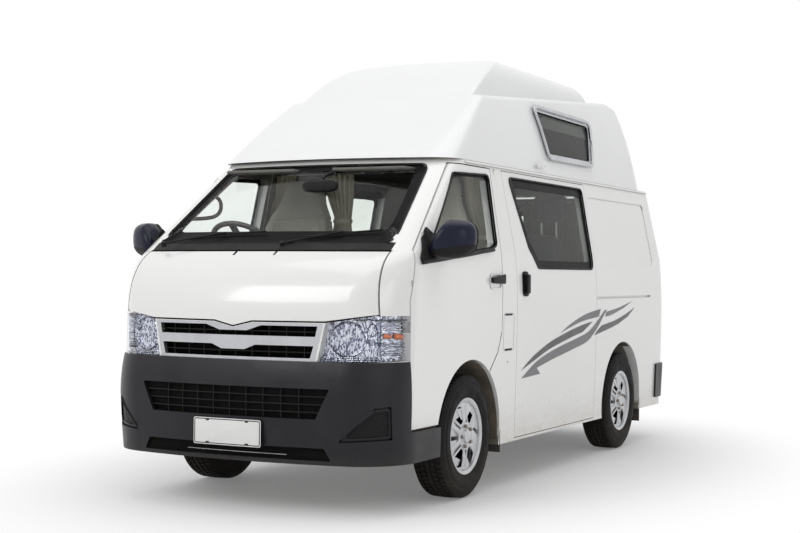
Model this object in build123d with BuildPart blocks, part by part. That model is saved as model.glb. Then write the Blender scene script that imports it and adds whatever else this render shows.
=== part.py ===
from build123d import *
from math import asin, cos, pi, radians, sin, sqrt
import os

# Camper van with a two-tier moulded high roof, in millimetres.
# +X points forward, +Y to the vehicle's left and +Z up.
# The origin is on the ground, under the middle of the vehicle.

os.makedirs("parts", exist_ok=True)

# Overall sizes
half_length = 2347.5
half_width = 847.0
roof_z = 1816.0

# Wheels and axles
wheelbase = 2570.0
front_axle_x = 1305.0
rear_axle_x = front_axle_x - wheelbase
tyre_radius = 330.0
tyre_width = 195.0
rim_radius = 190.0
wheel_centre_y = 735.0
arch_radius = 406.0
arch_setback = 13.0

# Walls, gaps and clearances
wall = 60.0
bonnet_thickness = 30.0
bumper_wall = 24.0
glass_depth = 8.0
glass_thickness = 6.0
panel_gap = 8.0
fixed_gap = 4.0
seat_gap = 0.3
overrun = 40.0
side_reach = 1100.0
arc_middle = 0.5

# Heights
rail_z = 1790.0
floor_z = 640.0
floor_thickness = 40.0
nose_top_z = 985.0
cowl_bottom_z = 1306.0

# Share of the side inset that the corner and rear radii follow
corner_follow_share = 0.6
radius_follow_share = 0.6

# Plan sections of the body: height as a share of roof_z, centre front and
# front corner as shares of half_length, corner width and side width as shares
# of half_width, rear face as a share of half_length, rear corner radius as a
# share of half_width
body_section_shares = (
    (0.1338, 0.9798, 0.9568, 0.7084, 0.9811, 0.9891, 0.2420),
    (0.2753, 0.9832, 0.9593, 0.7084, 0.9894, 0.9934, 0.2479),
    (0.4185, 0.9840, 0.9602, 0.7143, 0.9965, 0.9951, 0.2479),
    (0.5424, 0.9836, 0.9563, 0.7202, 1.0000, 0.9942, 0.2538),
    (0.5947, 0.9764, 0.9499, 0.7261, 0.9988, 0.9925, 0.2538),
    (0.6498, 0.9542, 0.9295, 0.7462, 0.9941, 0.9891, 0.2479),
    (0.7181, 0.8903, 0.8537, 0.8512, 0.9823, 0.9840, 0.2243),
)
roof_edge_shares = (1.0000, 0.6023, 0.5657, 0.7367, 0.8737, 0.9359, 0.1771)

# The same columns for the front bumper, the high roof and its upper tier
bumper_section_shares = (
    (0.1448, 0.9900, 0.9661, 0.7084, 1.0047, 0.7242, 0.0236),
    (0.2203, 0.9960, 0.9729, 0.7084, 1.0083, 0.7242, 0.0236),
    (0.3524, 1.0000, 0.9764, 0.7084, 1.0094, 0.7242, 0.0236),
    (0.4191, 0.9891, 0.9644, 0.7143, 1.0024, 0.7242, 0.0236),
)
high_roof_section_shares = (
    (1.0000, 0.6219, 0.5853, 0.7308, 0.8760, 0.8882, 0.2952),
    (1.1068, 0.4976, 0.4635, 0.7155, 0.8264, 0.8860, 0.2893),
    (1.2115, 0.3663, 0.3365, 0.6907, 0.7651, 0.8775, 0.2774),
    (1.3877, 0.1448, 0.1150, 0.5431, 0.6080, 0.8456, 0.2361),
)
upper_tier_section_shares = (
    (1.2115, 0.3620, 0.3322, 0.6316, 0.6848, 0.6645, 0.1771),
    (1.2665, 0.2939, 0.2641, 0.6139, 0.6612, 0.6390, 0.1771),
    (1.3491, 0.1704, 0.1406, 0.5726, 0.6139, 0.5964, 0.1653),
    (1.3822, 0.0852, 0.0596, 0.4959, 0.5313, 0.5623, 0.1417),
)

# Side outlines: x as a share of half_length, z as a share of roof_z
front_door_shares = (
    (0.8584, 0.2340),
    (0.8584, 0.5831),
    (0.8234, 0.7181),
    (0.5606, 0.9824),
    (0.3642, 0.9824),
    (0.3783, 0.5754),
    (0.3813, 0.4802),
    (0.4021, 0.4202),
    (0.4473, 0.3662),
    (0.4473, 0.2340),
)
door_window_shares = (
    (0.5729, 0.9565),
    (0.3770, 0.9648),
    (0.3898, 0.7434),
    (0.4260, 0.7296),
    (0.7966, 0.6883),
)
sliding_door_shares = (
    (0.2931, 0.9824),
    (0.2846, 0.7159),
    (0.2829, 0.1443),
    (-0.2939, 0.1443),
    (-0.2939, 0.9824),
)
side_window_shares = (
    (0.2607, 0.9675),
    (0.1917, 0.7406),
    (0.1401, 0.6751),
    (-0.2726, 0.6751),
    (-0.2726, 0.9675),
)
side_recess_shares = (
    (-0.3088, 0.6971),
    (-0.8349, 0.6971),
    (-0.8179, 0.9400),
    (-0.3088, 0.9400),
)
roof_window_shares = (
    (-0.0158, 1.2247),
    (-0.4417, 1.2197),
    (-0.3783, 1.0650),
    (-0.0452, 1.0622),
)
# Top of the high roof from the front shoulder to the back
high_roof_top_shares = (
    (0.7000, 0.9000),
    (0.7000, 1.2115),
    (0.3600, 1.2200),
    (-0.7100, 1.3420),
    (-0.8200, 1.3250),
    (-0.9500, 1.2200),
    (-0.9500, 0.9000),
)

# Front and rear outlines: y as a share of half_width, z as a share of roof_z
windscreen_shares = (
    (0.8350, 0.7390),
    (-0.8350, 0.7390),
    (-0.7350, 0.9790),
    (0.7350, 0.9790),
)
bonnet_shares = (
    (0.8512, 0.7148),
    (-0.8512, 0.7148),
    (-0.8796, 0.5460),
    (-0.5900, 0.5270),
    (-0.1300, 0.5260),
    (0.0000, 0.5120),
    (0.1300, 0.5260),
    (0.5900, 0.5270),
    (0.8796, 0.5460),
)
headlamp_shares = (
    (0.5480, 0.4135),
    (1.1000, 0.4240),
    (1.1000, 0.5424),
    (0.8796, 0.5424),
    (0.5950, 0.5225),
)
grille_shares = (
    (0.5350, 0.4190),
    (0.5840, 0.5210),
    (0.1250, 0.5200),
    (0.0000, 0.5060),
    (-0.1250, 0.5200),
    (-0.5840, 0.5210),
    (-0.5350, 0.4190),
)
tailgate_shares = (
    (0.8300, 0.3060),
    (0.8300, 0.6300),
    (0.7350, 0.9813),
    (-0.7350, 0.9813),
    (-0.8300, 0.6300),
    (-0.8300, 0.3060),
)
tail_window_shares = (
    (0.6950, 0.6650),
    (0.6200, 0.9300),
    (-0.6200, 0.9300),
    (-0.6950, 0.6650),
)
lower_grille_shares = (
    (0.5650, 0.2670),
    (0.6480, 0.3480),
    (-0.6480, 0.3480),
    (-0.5650, 0.2670),
)
intake_shares = (
    (0.6480, 0.1560),
    (0.6080, 0.1900),
    (-0.6080, 0.1900),
    (-0.6480, 0.1560),
)
fog_pocket_shares = (
    (0.6900, 0.2070),
    (0.8900, 0.3000),
    (0.9550, 0.3040),
    (0.9550, 0.2140),
)


def plan_section(row, inset, drop):
    """Closed plan outline of the body at one height, moved in by inset."""
    height, front, corner_x, corner_y, side, rear, rear_radius = row
    front_x = front * half_length - inset
    edge_x = corner_x * half_length - inset
    edge_y = corner_y * half_width - inset * corner_follow_share
    side_y = side * half_width - inset
    rear_x = inset - rear * half_length
    radius = rear_radius * half_width - inset * radius_follow_share
    sagitta = front_x - edge_x
    bow_angle = asin(2 * sagitta * edge_y / (edge_y**2 + sagitta**2))
    corner_radius = (side_y - edge_y) / (1 - sin(bow_angle))
    side_x = edge_x - corner_radius * cos(bow_angle)
    middle = (bow_angle + pi / 2) / 2
    corner_x_mid = side_x + corner_radius * cos(middle)
    corner_y_mid = side_y - corner_radius * (1 - sin(middle))
    back_drop = radius * (1 - sqrt(arc_middle))
    with BuildSketch(Plane.XY.offset(height * roof_z - drop)) as section:
        with BuildLine():
            ThreePointArc((edge_x, -edge_y), (front_x, 0), (edge_x, edge_y))
            ThreePointArc((edge_x, edge_y), (corner_x_mid, corner_y_mid), (side_x, side_y))
            Line((side_x, side_y), (rear_x + radius, side_y))
            ThreePointArc(
                (rear_x + radius, side_y),
                (rear_x + back_drop, side_y - back_drop),
                (rear_x, side_y - radius),
            )
            Line((rear_x, side_y - radius), (rear_x, radius - side_y))
            ThreePointArc(
                (rear_x, radius - side_y),
                (rear_x + back_drop, back_drop - side_y),
                (rear_x + radius, -side_y),
            )
            Line((rear_x + radius, -side_y), (side_x, -side_y))
            ThreePointArc((side_x, -side_y), (corner_x_mid, -corner_y_mid), (edge_x, -edge_y))
        make_face()
    return section.sketch


def lofted(rows, inset=0.0, drop=0.0):
    """Smooth solid through the plan sections, moved in and down."""
    with BuildPart() as solid:
        loft(sections=[plan_section(row, inset, drop) for row in rows])
    return solid.part


def body_volume(inset=0.0):
    """Whole body from the sill to the roof edge, moved in by inset."""
    with BuildPart() as volume:
        add(lofted(body_section_shares, inset))
        add(lofted((body_section_shares[-1], roof_edge_shares), inset))
    return volume.part


def side_prism(shares, grow=0.0, radius=0.0, depth=side_reach, drop=0.0):
    """Prism inwards from the left, from an outline seen from the side."""
    with BuildPart() as prism:
        with BuildSketch(Plane.XZ.offset(-side_reach)):
            with BuildLine():
                Polyline(*[(x * half_length, z * roof_z - drop) for x, z in shares], close=True)
            make_face()
            if radius:
                fillet(vertices(), radius)
            if grow:
                offset(amount=grow, kind=Kind.INTERSECTION)
        extrude(amount=depth)
    return prism.part


def end_prism(shares, from_x, to_x, grow=0.0, radius=0.0):
    """Prism along X, from an outline seen from the front."""
    with BuildPart() as prism:
        with BuildSketch(Plane.YZ.offset(from_x)):
            with BuildLine():
                Polyline(*[(y * half_width, z * roof_z) for y, z in shares], close=True)
            make_face()
            if radius:
                fillet(vertices(), radius)
            if grow:
                offset(amount=grow, kind=Kind.INTERSECTION)
        extrude(amount=to_x - from_x)
    return prism.part


def block(low, high):
    """Box between two corners."""
    centre = [(a + b) / 2 for a, b in zip(low, high)]
    size = [b - a for a, b in zip(low, high)]
    with BuildPart() as box:
        with Locations(tuple(centre)):
            Box(*size)
    return box.part


def cross_cylinder(x, z, radius, from_y, to_y):
    """Cylinder along Y between two planes."""
    with BuildPart() as cylinder:
        with BuildSketch(Plane.XZ.offset(-from_y)):
            with Locations((x, z)):
                Circle(radius)
        extrude(amount=from_y - to_y)
    return cylinder.part


def upright_cylinder(x, y, radius, low_z, high_z):
    """Cylinder along Z between two heights."""
    with BuildPart() as cylinder:
        with BuildSketch(Plane.XY.offset(low_z)):
            with Locations((x, y)):
                Circle(radius)
        extrude(amount=high_z - low_z)
    return cylinder.part


def common(*parts):
    """The space that all the given parts share."""
    with BuildPart() as shared:
        add(parts[0])
        for part in parts[1:]:
            add(part, mode=Mode.INTERSECT)
    return shared.part


def without(part, *cutters):
    """The part less each cutter."""
    with BuildPart() as rest:
        add(part)
        add(list(cutters), mode=Mode.SUBTRACT)
    return rest.part


def joined(*parts):
    """The parts as one compound or solid."""
    with BuildPart() as whole:
        add(list(parts))
    return whole.part


def pane(prism):
    """Curved sheet of glass that fills the prism."""
    return without(common(glass_front, prism), glass_back)


def both_sides(part):
    """The part and its mirror image across the vehicle."""
    return joined(part, mirror(part, about=Plane.XZ))


pieces = {}

# Body volumes: skin, lining, glass and the pressed side recess
recess_depth = 5.0
skin = body_volume()
lining = body_volume(wall)
glass_front = body_volume(glass_depth)
glass_back = body_volume(glass_depth + glass_thickness)
shell = without(skin, lining)
left_half = block((-half_length - overrun, 0, 0), (half_length + overrun, side_reach, roof_z + overrun))

# Places along the body
door_front_x = front_door_shares[0][0] * half_length
face_back_x = door_front_x + panel_gap
tail_start_x = -1960.0
windscreen_back_x = 1150.0
bonnet_back_x = 1900.0
cowl_top_z = windscreen_shares[0][1] * roof_z - seat_gap
corner_block_y = bonnet_shares[0][0] * half_width

# Front door hinges, and the room that the turning door edge needs round them
hinge_x = 1990.0
hinge_y = 830.0
hinge_pin_radius = 3.0
hinge_eye_radius = 5.0
hinge_height = 50.0
hinge_pin_reach = 14.0
hinge_leaf_depth = 48.0
hinge_leaf_thickness = 12.0
hinge_play = 1.0
hinge_room = 2.0
hinge_heights = (560.0, 930.0)
door_swing_radius = 80.0
door_relief_radius = 15.0
door_relief_low_z = 1095.0
door_relief_high_z = 1158.0

# Wheel arches
front_arch_x = front_axle_x - arch_setback
rear_arch_x = rear_axle_x + arch_setback
arch_inner_y = 420.0
front_arch = cross_cylinder(front_arch_x, tyre_radius, arch_radius, arch_inner_y, side_reach)
rear_arch = cross_cylinder(rear_arch_x, tyre_radius, arch_radius, arch_inner_y, side_reach)
door_relief = upright_cylinder(hinge_x, hinge_y, door_relief_radius, door_relief_low_z, door_relief_high_z)
door_swing = upright_cylinder(hinge_x, hinge_y, door_swing_radius, 0, cowl_bottom_z)

# Cutting prisms
corner_radius_small = 40.0
window_radius = 45.0
screen_radius = 55.0
door_radius = 6.0
front_door_cut = side_prism(front_door_shares, grow=panel_gap)
sliding_door_cut = side_prism(sliding_door_shares, grow=fixed_gap)
windscreen_cut = end_prism(windscreen_shares, windscreen_back_x, half_length, radius=screen_radius)
tailgate_cut = end_prism(tailgate_shares, -half_length - overrun, tail_start_x, grow=panel_gap)
side_window_cut = side_prism(side_window_shares, radius=window_radius)
door_window_cut = side_prism(door_window_shares, radius=corner_radius_small)

# Body sides, from the sill to the roof rail, without doors, lamps and arches
tail_lamp_low_z = 760.0
tail_lamp_high_z = 1280.0
tail_lamp_in_y = 712.0
tail_lamp_front_x = -2240.0
tail_lamp_depth = 45.0
tail_lamp_box = block(
    (-half_length - overrun, tail_lamp_in_y, tail_lamp_low_z),
    (tail_lamp_front_x, side_reach, tail_lamp_high_z),
)
tail_lamp_cut = without(tail_lamp_box, body_volume(tail_lamp_depth))
nose_box = block((face_back_x, 0, 0), (half_length + overrun, side_reach, nose_top_z))
bonnet_box = block(
    (bonnet_back_x, 0, 0), (half_length + overrun, corner_block_y + panel_gap, cowl_bottom_z - seat_gap)
)
cowl_box = block(
    (bonnet_back_x, 0, cowl_bottom_z - fixed_gap),
    (half_length + overrun, corner_block_y + seat_gap, cowl_top_z + fixed_gap),
)
above_rail = block((-half_length, 0, rail_z), (half_length, side_reach, roof_z + overrun))
strip_top_z = 414.0
strip_back_x = 1690.0
below_strip = block((strip_back_x - overrun, 0, 0), (face_back_x, side_reach, strip_top_z + panel_gap))
recess_cut = without(
    side_prism(side_recess_shares, radius=corner_radius_small), body_volume(recess_depth)
)
bonnet_side_cut = end_prism(bonnet_shares, bonnet_back_x, half_length + overrun, grow=panel_gap)
side_base = without(
    common(shell, left_half),
    nose_box,
    above_rail,
    front_door_cut,
    windscreen_cut,
    bonnet_side_cut,
    bonnet_box,
    cowl_box,
    tailgate_cut,
    tail_lamp_cut,
    front_arch,
    rear_arch,
    below_strip,
    recess_cut,
    door_relief,
)
slot_z = 1045.0
slot_height = 16.0
slot_depth = 14.0
slot_front_x = -700.0
slot_back_x = -1865.0
rail_slot = without(
    block((slot_back_x, 0, slot_z - slot_height / 2), (slot_front_x, side_reach, slot_z + slot_height / 2)),
    body_volume(slot_depth),
)
pieces["body_side_left"] = without(side_base, sliding_door_cut, rail_slot)
pieces["body_side_right"] = mirror(without(side_base, side_window_cut), about=Plane.XZ)

# Roof frame: the steel roof edge that carries the high roof, open in the middle
opening_half_width = 560.0
opening_front_x = 1080.0
opening_back_x = -1900.0
gutter_proud = 9.0
gutter_low_z = 1800.0
gutter_high_z = 1810.0
gutter_front_x = 1180.0
gutter_back_x = -2060.0
roof_opening = block(
    (opening_back_x, -opening_half_width, rail_z - overrun),
    (opening_front_x, opening_half_width, roof_z + overrun),
)
roof_slab = common(skin, block((-half_length, -side_reach, rail_z), (half_length, side_reach, roof_z)))
gutter = common(
    body_volume(-gutter_proud),
    block((gutter_back_x, -side_reach, gutter_low_z), (gutter_front_x, side_reach, gutter_high_z)),
)
pieces["roof_frame"] = without(joined(roof_slab, gutter), roof_opening)

# Nose panel behind the bumper and lamps, open for the grille
nose_low_z = 300.0
nose_ring = without(
    common(shell, block((face_back_x, -side_reach, nose_low_z), (half_length, side_reach, nose_top_z))),
    end_prism(grille_shares, face_back_x, half_length + overrun),
    end_prism(bonnet_shares, bonnet_back_x, half_length + overrun, grow=panel_gap),
)
lamp_volume = without(skin, body_volume(wall - bonnet_thickness))
lamp_prism = end_prism(headlamp_shares, face_back_x, half_length + overrun, radius=door_radius)
lamp_left = common(lamp_volume, lamp_prism)
lamp_hole = end_prism(
    headlamp_shares, face_back_x - overrun, half_length + overrun, grow=seat_gap, radius=door_radius
)

# Gooseneck hinge leaves on the nose panel, with the pins that the doors turn on


def door_hinge_leaf(middle_z):
    """Leaf, eye and pin of one left door hinge."""
    low_z = middle_z - hinge_height / 2
    high_z = middle_z + hinge_height / 2
    return joined(
        block(
            (hinge_x - hinge_eye_radius, hinge_y - hinge_leaf_depth, low_z),
            (hinge_x + hinge_eye_radius, hinge_y, high_z),
        ),
        block(
            (hinge_x, hinge_y - hinge_leaf_depth, low_z),
            (face_back_x + overrun / 2, hinge_y - hinge_leaf_depth + hinge_leaf_thickness, high_z),
        ),
        upright_cylinder(hinge_x, hinge_y, hinge_eye_radius, low_z, high_z),
        upright_cylinder(
            hinge_x, hinge_y, hinge_pin_radius, low_z - hinge_pin_reach, high_z + hinge_pin_reach
        ),
    )


def door_hinge_room(middle_z):
    """Pocket and pin bore that one hinge needs in the left door."""
    half = hinge_height / 2 + hinge_play
    reach = half + hinge_pin_reach
    return joined(
        block(
            (hinge_x - hinge_eye_radius - hinge_room, arch_inner_y, middle_z - half),
            (face_back_x, hinge_y + hinge_eye_radius + hinge_room, middle_z + half),
        ),
        upright_cylinder(
            hinge_x, hinge_y, hinge_pin_radius + seat_gap, middle_z - reach, middle_z + reach
        ),
    )


hinge_leaves = joined(*[door_hinge_leaf(middle_z) for middle_z in hinge_heights])
pieces["nose_panel"] = joined(without(nose_ring, both_sides(lamp_hole)), both_sides(hinge_leaves))
pieces["headlamps"] = both_sides(lamp_left)

# Bonnet: a thick lid between the lamps and the windscreen
bonnet_skin = without(skin, body_volume(bonnet_thickness))
bonnet_hinge_x = 2090.0
bonnet_hinge_z = 1289.0
bonnet_hinge_y = 120.0
tail_hinge_x = -2196.0
tail_hinge_z = 1776.0
tail_hinge_y = 450.0
lid_eye_radius = 8.0
lid_pin_radius = 3.5
lid_eye_half = 6.0
lid_pin_half = 16.0
lid_slot_half = 8.0
lid_slot_drop = 12.0
lid_neck = 12.0


def lid_hinge(x, y, z, neck_side, neck_top_z):
    """Eye, neck and cross pin of one lid hinge, hung from what is above."""
    neck_near_x = x + neck_side * lid_pin_radius
    neck_far_x = neck_near_x + neck_side * lid_neck
    return joined(
        cross_cylinder(x, z, lid_eye_radius, y - lid_eye_half, y + lid_eye_half),
        cross_cylinder(x, z, lid_pin_radius, y - lid_pin_half, y + lid_pin_half),
        block(
            (min(neck_near_x, neck_far_x), y - lid_eye_half, z),
            (max(neck_near_x, neck_far_x), y + lid_eye_half, neck_top_z),
        ),
        block(
            (min(x, neck_far_x), y - lid_eye_half, z),
            (max(x, neck_far_x), y + lid_eye_half, z + lid_pin_radius),
        ),
    )


def lid_hinge_room(x, y, z, neck_side):
    """Slot and pin bore that one hinge needs in its lid."""
    inner_x = x + neck_side * (lid_pin_radius + lid_neck + hinge_room)
    outer_x = x - neck_side * overrun
    return joined(
        block(
            (min(inner_x, outer_x), y - lid_slot_half, z - lid_slot_drop),
            (max(inner_x, outer_x), y + lid_slot_half, z + overrun),
        ),
        cross_cylinder(
            x, z, lid_pin_radius + seat_gap, y - lid_pin_half - hinge_play, y + lid_pin_half + hinge_play
        ),
    )


pieces["bonnet"] = without(
    common(bonnet_skin, end_prism(bonnet_shares, bonnet_back_x, half_length + overrun)),
    both_sides(lid_hinge_room(bonnet_hinge_x, bonnet_hinge_y, bonnet_hinge_z, -1)),
)

# Cowl below the windscreen, with the bonnet's hinges under it
cowl_band = common(
    without(skin, body_volume(bonnet_thickness)),
    block((bonnet_back_x, -corner_block_y, cowl_bottom_z), (half_length, corner_block_y, cowl_top_z)),
)
bonnet_hinge = lid_hinge(
    bonnet_hinge_x, bonnet_hinge_y, bonnet_hinge_z, -1, cowl_bottom_z + fixed_gap
)
pieces["cowl"] = joined(cowl_band, both_sides(bonnet_hinge))

# The tailgate's hinges hang from the roof frame
tail_hinge = lid_hinge(tail_hinge_x, tail_hinge_y, tail_hinge_z, 1, rail_z + fixed_gap)
pieces["roof_frame"] = joined(pieces["roof_frame"], both_sides(tail_hinge))

# Windscreen and fixed side glass
pane_windscreen = end_prism(
    windscreen_shares, windscreen_back_x, half_length, grow=-seat_gap, radius=screen_radius
)
pieces["windscreen"] = pane(pane_windscreen)
side_pane = pane(side_prism(side_window_shares, grow=-seat_gap, radius=window_radius))

# Front doors with their glass, cut round the wheel arch
front_door = without(
    common(shell, side_prism(front_door_shares, radius=door_radius)),
    front_arch,
    door_window_cut,
    *[door_hinge_room(middle_z) for middle_z in hinge_heights],
)
door_pane = pane(side_prism(door_window_shares, grow=-seat_gap, radius=corner_radius_small))
pieces["front_door_left"] = front_door
pieces["front_door_right"] = mirror(front_door, about=Plane.XZ)
pieces["door_glass_left"] = door_pane
pieces["door_glass_right"] = mirror(door_pane, about=Plane.XZ)

# Sliding door, on the left only
pieces["sliding_door"] = without(
    common(shell, side_prism(sliding_door_shares, radius=door_radius)), side_window_cut, rear_arch
)

# Tailgate with its glass
tail_window_cut = end_prism(
    tail_window_shares, -half_length - overrun, tail_start_x, radius=window_radius
)
pieces["tailgate"] = without(
    common(shell, end_prism(tailgate_shares, -half_length - overrun, tail_start_x)),
    tail_window_cut,
    both_sides(lid_hinge_room(tail_hinge_x, tail_hinge_y, tail_hinge_z, 1)),
)
pieces["tailgate_glass"] = pane(
    end_prism(
        tail_window_shares, -half_length - overrun, tail_start_x, grow=-seat_gap, radius=window_radius
    )
)
pieces["tail_lamps"] = both_sides(
    without(
        common(
            skin,
            block(
                (-half_length, tail_lamp_in_y + seat_gap, tail_lamp_low_z + seat_gap),
                (tail_lamp_front_x - seat_gap, side_reach, tail_lamp_high_z - seat_gap),
            ),
        ),
        body_volume(tail_lamp_depth - seat_gap),
        tailgate_cut,
    )
)

# Front bumper: an open shell with a lower grille, a low intake and two pockets
bumper_back_x = face_back_x
strip_low_z = bumper_section_shares[0][0] * roof_z
strip_front_reach = half_length + overrun
pocket_depth = 14.0
bumper_top_z = bumper_section_shares[-1][0] * roof_z
bumper_solid = lofted(bumper_section_shares)
bumper_zone = joined(
    block((bumper_back_x, -side_reach, strip_low_z), (strip_front_reach, side_reach, bumper_top_z)),
    both_sides(
        block((strip_back_x, arch_inner_y, strip_low_z), (bumper_back_x + overrun, side_reach, strip_top_z))
    ),
)
fog_pocket = without(
    end_prism(fog_pocket_shares, bumper_back_x, strip_front_reach, radius=door_radius),
    lofted(bumper_section_shares, pocket_depth),
)
pieces["front_bumper"] = without(
    common(without(bumper_solid, lofted(bumper_section_shares, bumper_wall)), bumper_zone),
    body_volume(-seat_gap),
    end_prism(lower_grille_shares, bumper_back_x, strip_front_reach, radius=door_radius),
    end_prism(intake_shares, bumper_back_x, strip_front_reach, radius=door_radius),
    both_sides(fog_pocket),
)

# Upper grille: a bright frame with two openings and dark slats behind them
grille_depth = 22.0
slat_depth = 12.0
slat_back = 40.0
slat_thickness = 5.0
fin_thickness = 4.0
fin_pitch = 96.0
fin_count = 9
upper_opening_shares = (
    (0.5350, 0.4850),
    (0.5480, 0.5130),
    (0.1900, 0.5130),
    (0.0950, 0.4985),
    (-0.0950, 0.4985),
    (-0.1900, 0.5130),
    (-0.5480, 0.5130),
    (-0.5350, 0.4850),
)
lower_opening_shares = (
    (0.5050, 0.4270),
    (0.5250, 0.4600),
    (0.1500, 0.4600),
    (0.0800, 0.4470),
    (-0.0800, 0.4470),
    (-0.1500, 0.4600),
    (-0.5250, 0.4600),
    (-0.5050, 0.4270),
)
grille_openings = joined(
    end_prism(upper_opening_shares, face_back_x, strip_front_reach),
    end_prism(lower_opening_shares, face_back_x, strip_front_reach),
)
pieces["grille_frame"] = without(
    common(
        without(skin, body_volume(grille_depth)),
        end_prism(grille_shares, face_back_x, strip_front_reach, grow=-seat_gap),
    ),
    grille_openings,
)


def lattice(slat_heights, half_span):
    """Level slats crossed by upright fins, as one solid."""
    low = slat_heights[0] - slat_back
    high = slat_heights[-1] + slat_back
    with BuildPart() as bars:
        for height in slat_heights:
            add(block((face_back_x, -half_span, height), (half_length, half_span, height + slat_thickness)))
        for index in range(fin_count):
            fin_y = (index - (fin_count - 1) / 2) * fin_pitch
            add(block((face_back_x, fin_y, low), (half_length, fin_y + fin_thickness, high)))
    return bars.part


grille_slat_heights = (800.0, 900.0)
bumper_slat_heights = (515.0, 553.0, 591.0)
grille_half_span = 480.0
slats_upper = common(
    lattice(grille_slat_heights, grille_half_span),
    without(body_volume(grille_depth + seat_gap), body_volume(slat_back)),
    end_prism(grille_shares, face_back_x, strip_front_reach, grow=-2 * seat_gap),
)
slats_lower = common(
    lattice(bumper_slat_heights, half_width),
    without(lofted(bumper_section_shares, slat_depth), lofted(bumper_section_shares, bumper_wall)),
    end_prism(lower_grille_shares, face_back_x, strip_front_reach, grow=-seat_gap),
)
pieces["grille_slats"] = joined(slats_upper, slats_lower)

# High roof: a hollow moulded shell in two tiers with a window each side
roof_shell = 28.0
shoulder_edge = 40.0
tier_edge = 30.0
with BuildPart() as lower_tier:
    add(common(lofted(high_roof_section_shares), side_prism(high_roof_top_shares, depth=2 * side_reach)))
    shoulder_faces = [
        face
        for face in lower_tier.faces().filter_by(GeomType.PLANE)
        if face.center().Z > high_roof_top_shares[1][1] * roof_z
    ]
    shoulder_edges = ShapeList([edge for face in shoulder_faces for edge in face.edges()])
    fillet(shoulder_edges, shoulder_edge)
with BuildPart() as upper_tier:
    add(lofted(upper_tier_section_shares))
    fillet(upper_tier.faces().sort_by(Axis.Z)[-1].edges(), tier_edge)
high_roof_outer = joined(lower_tier.part, upper_tier.part)
high_roof_inner = joined(
    common(
        lofted(high_roof_section_shares, roof_shell),
        side_prism(high_roof_top_shares, depth=2 * side_reach, drop=roof_shell),
    ),
    lofted(upper_tier_section_shares, roof_shell, drop=roof_shell),
)
roof_window_cut = side_prism(roof_window_shares, radius=corner_radius_small)
pieces["high_roof"] = without(high_roof_outer, high_roof_inner, both_sides(roof_window_cut))
roof_pane_prism = side_prism(roof_window_shares, grow=-seat_gap, radius=corner_radius_small)
roof_pane = without(
    common(lofted(high_roof_section_shares), roof_pane_prism),
    lofted(high_roof_section_shares, glass_depth),
)
pieces["side_glass"] = both_sides(joined(side_pane, roof_pane))

# Floor, seat platform over the front wheels, footwell and wheel houses
platform_top_z = 790.0
platform_thickness = 25.0
platform_front_x = 1640.0
platform_back_x = 880.0
footwell_z = 480.0
footwell_thickness = 30.0
wheel_house = 20.0
rear_house_inner_y = 600.0
bulkhead_x = 1975.0
bulkhead_top_z = 1180.0
clear_lining = body_volume(wall + panel_gap)
rear_house = without(
    cross_cylinder(rear_arch_x, tyre_radius, arch_radius + wheel_house, rear_house_inner_y, half_width),
    cross_cylinder(rear_arch_x, tyre_radius, arch_radius, rear_house_inner_y + wheel_house, side_reach),
    block((-half_length, 0, 0), (half_length, side_reach, floor_z - floor_thickness)),
)
cargo_slab = without(
    common(
        lining,
        block((-half_length, -side_reach, floor_z - floor_thickness), (platform_back_x, side_reach, floor_z)),
    ),
    both_sides(
        cross_cylinder(
            rear_arch_x, tyre_radius, arch_radius, rear_house_inner_y + wheel_house, side_reach
        )
    ),
)
front_boxes = joined(
    block(
        (platform_back_x, -side_reach, platform_top_z - platform_thickness),
        (platform_front_x, side_reach, platform_top_z),
    ),
    block(
        (platform_back_x, -side_reach, floor_z - floor_thickness),
        (platform_back_x + wheel_house, side_reach, platform_top_z),
    ),
    block(
        (platform_front_x - wheel_house, -side_reach, footwell_z - footwell_thickness),
        (platform_front_x, side_reach, platform_top_z),
    ),
    block(
        (platform_front_x - wheel_house, -side_reach, footwell_z - footwell_thickness),
        (face_back_x, side_reach, footwell_z),
    ),
    block(
        (bulkhead_x - wheel_house, -side_reach, footwell_z),
        (bulkhead_x, side_reach, bulkhead_top_z),
    ),
    both_sides(
        block(
            (platform_back_x, arch_inner_y - wheel_house, footwell_z),
            (platform_front_x, arch_inner_y, platform_top_z),
        )
    ),
)
nose_slab = common(
    lining,
    block(
        (face_back_x, -side_reach, footwell_z - footwell_thickness),
        (half_length, side_reach, footwell_z),
    ),
)
pieces["floor"] = without(
    joined(
        cargo_slab,
        common(lining, both_sides(rear_house)),
        common(clear_lining, front_boxes),
        nose_slab,
    ),
    both_sides(front_arch),
    both_sides(door_swing),
)

# Chassis rails under the floor with a cross member at each end
rail_in_y = 300.0
rail_width = 80.0
rail_low_z = 480.0
front_rail_low_z = 380.0
rail_back_x = -2230.0
rail_front_x = 2200.0
rail_step_x = 800.0
hitch_thickness = 12.0
hitch_x = -2120.0
hitch_spacing = 120.0
hitch_hole_radius = 6.5
hitch_hole_depth = 40.0
floor_bottom_z = floor_z - floor_thickness
front_rail_top_z = footwell_z - footwell_thickness
rail_left = joined(
    block(
        (rail_back_x, rail_in_y, rail_low_z), (platform_back_x, rail_in_y + rail_width, floor_bottom_z)
    ),
    block(
        (rail_step_x, rail_in_y, front_rail_low_z),
        (rail_front_x, rail_in_y + rail_width, front_rail_top_z),
    ),
    block(
        (rail_step_x, rail_in_y, front_rail_low_z),
        (platform_back_x, rail_in_y + rail_width, floor_bottom_z),
    ),
)
rear_member = block(
    (rail_back_x - hitch_thickness, -rail_in_y - rail_width, rail_low_z),
    (rail_back_x, rail_in_y + rail_width, floor_bottom_z),
)
rail_middle_y = rail_in_y + rail_width / 2
spare_x = -1870.0
carrier_half = 30.0
carrier_thickness = 20.0
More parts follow.
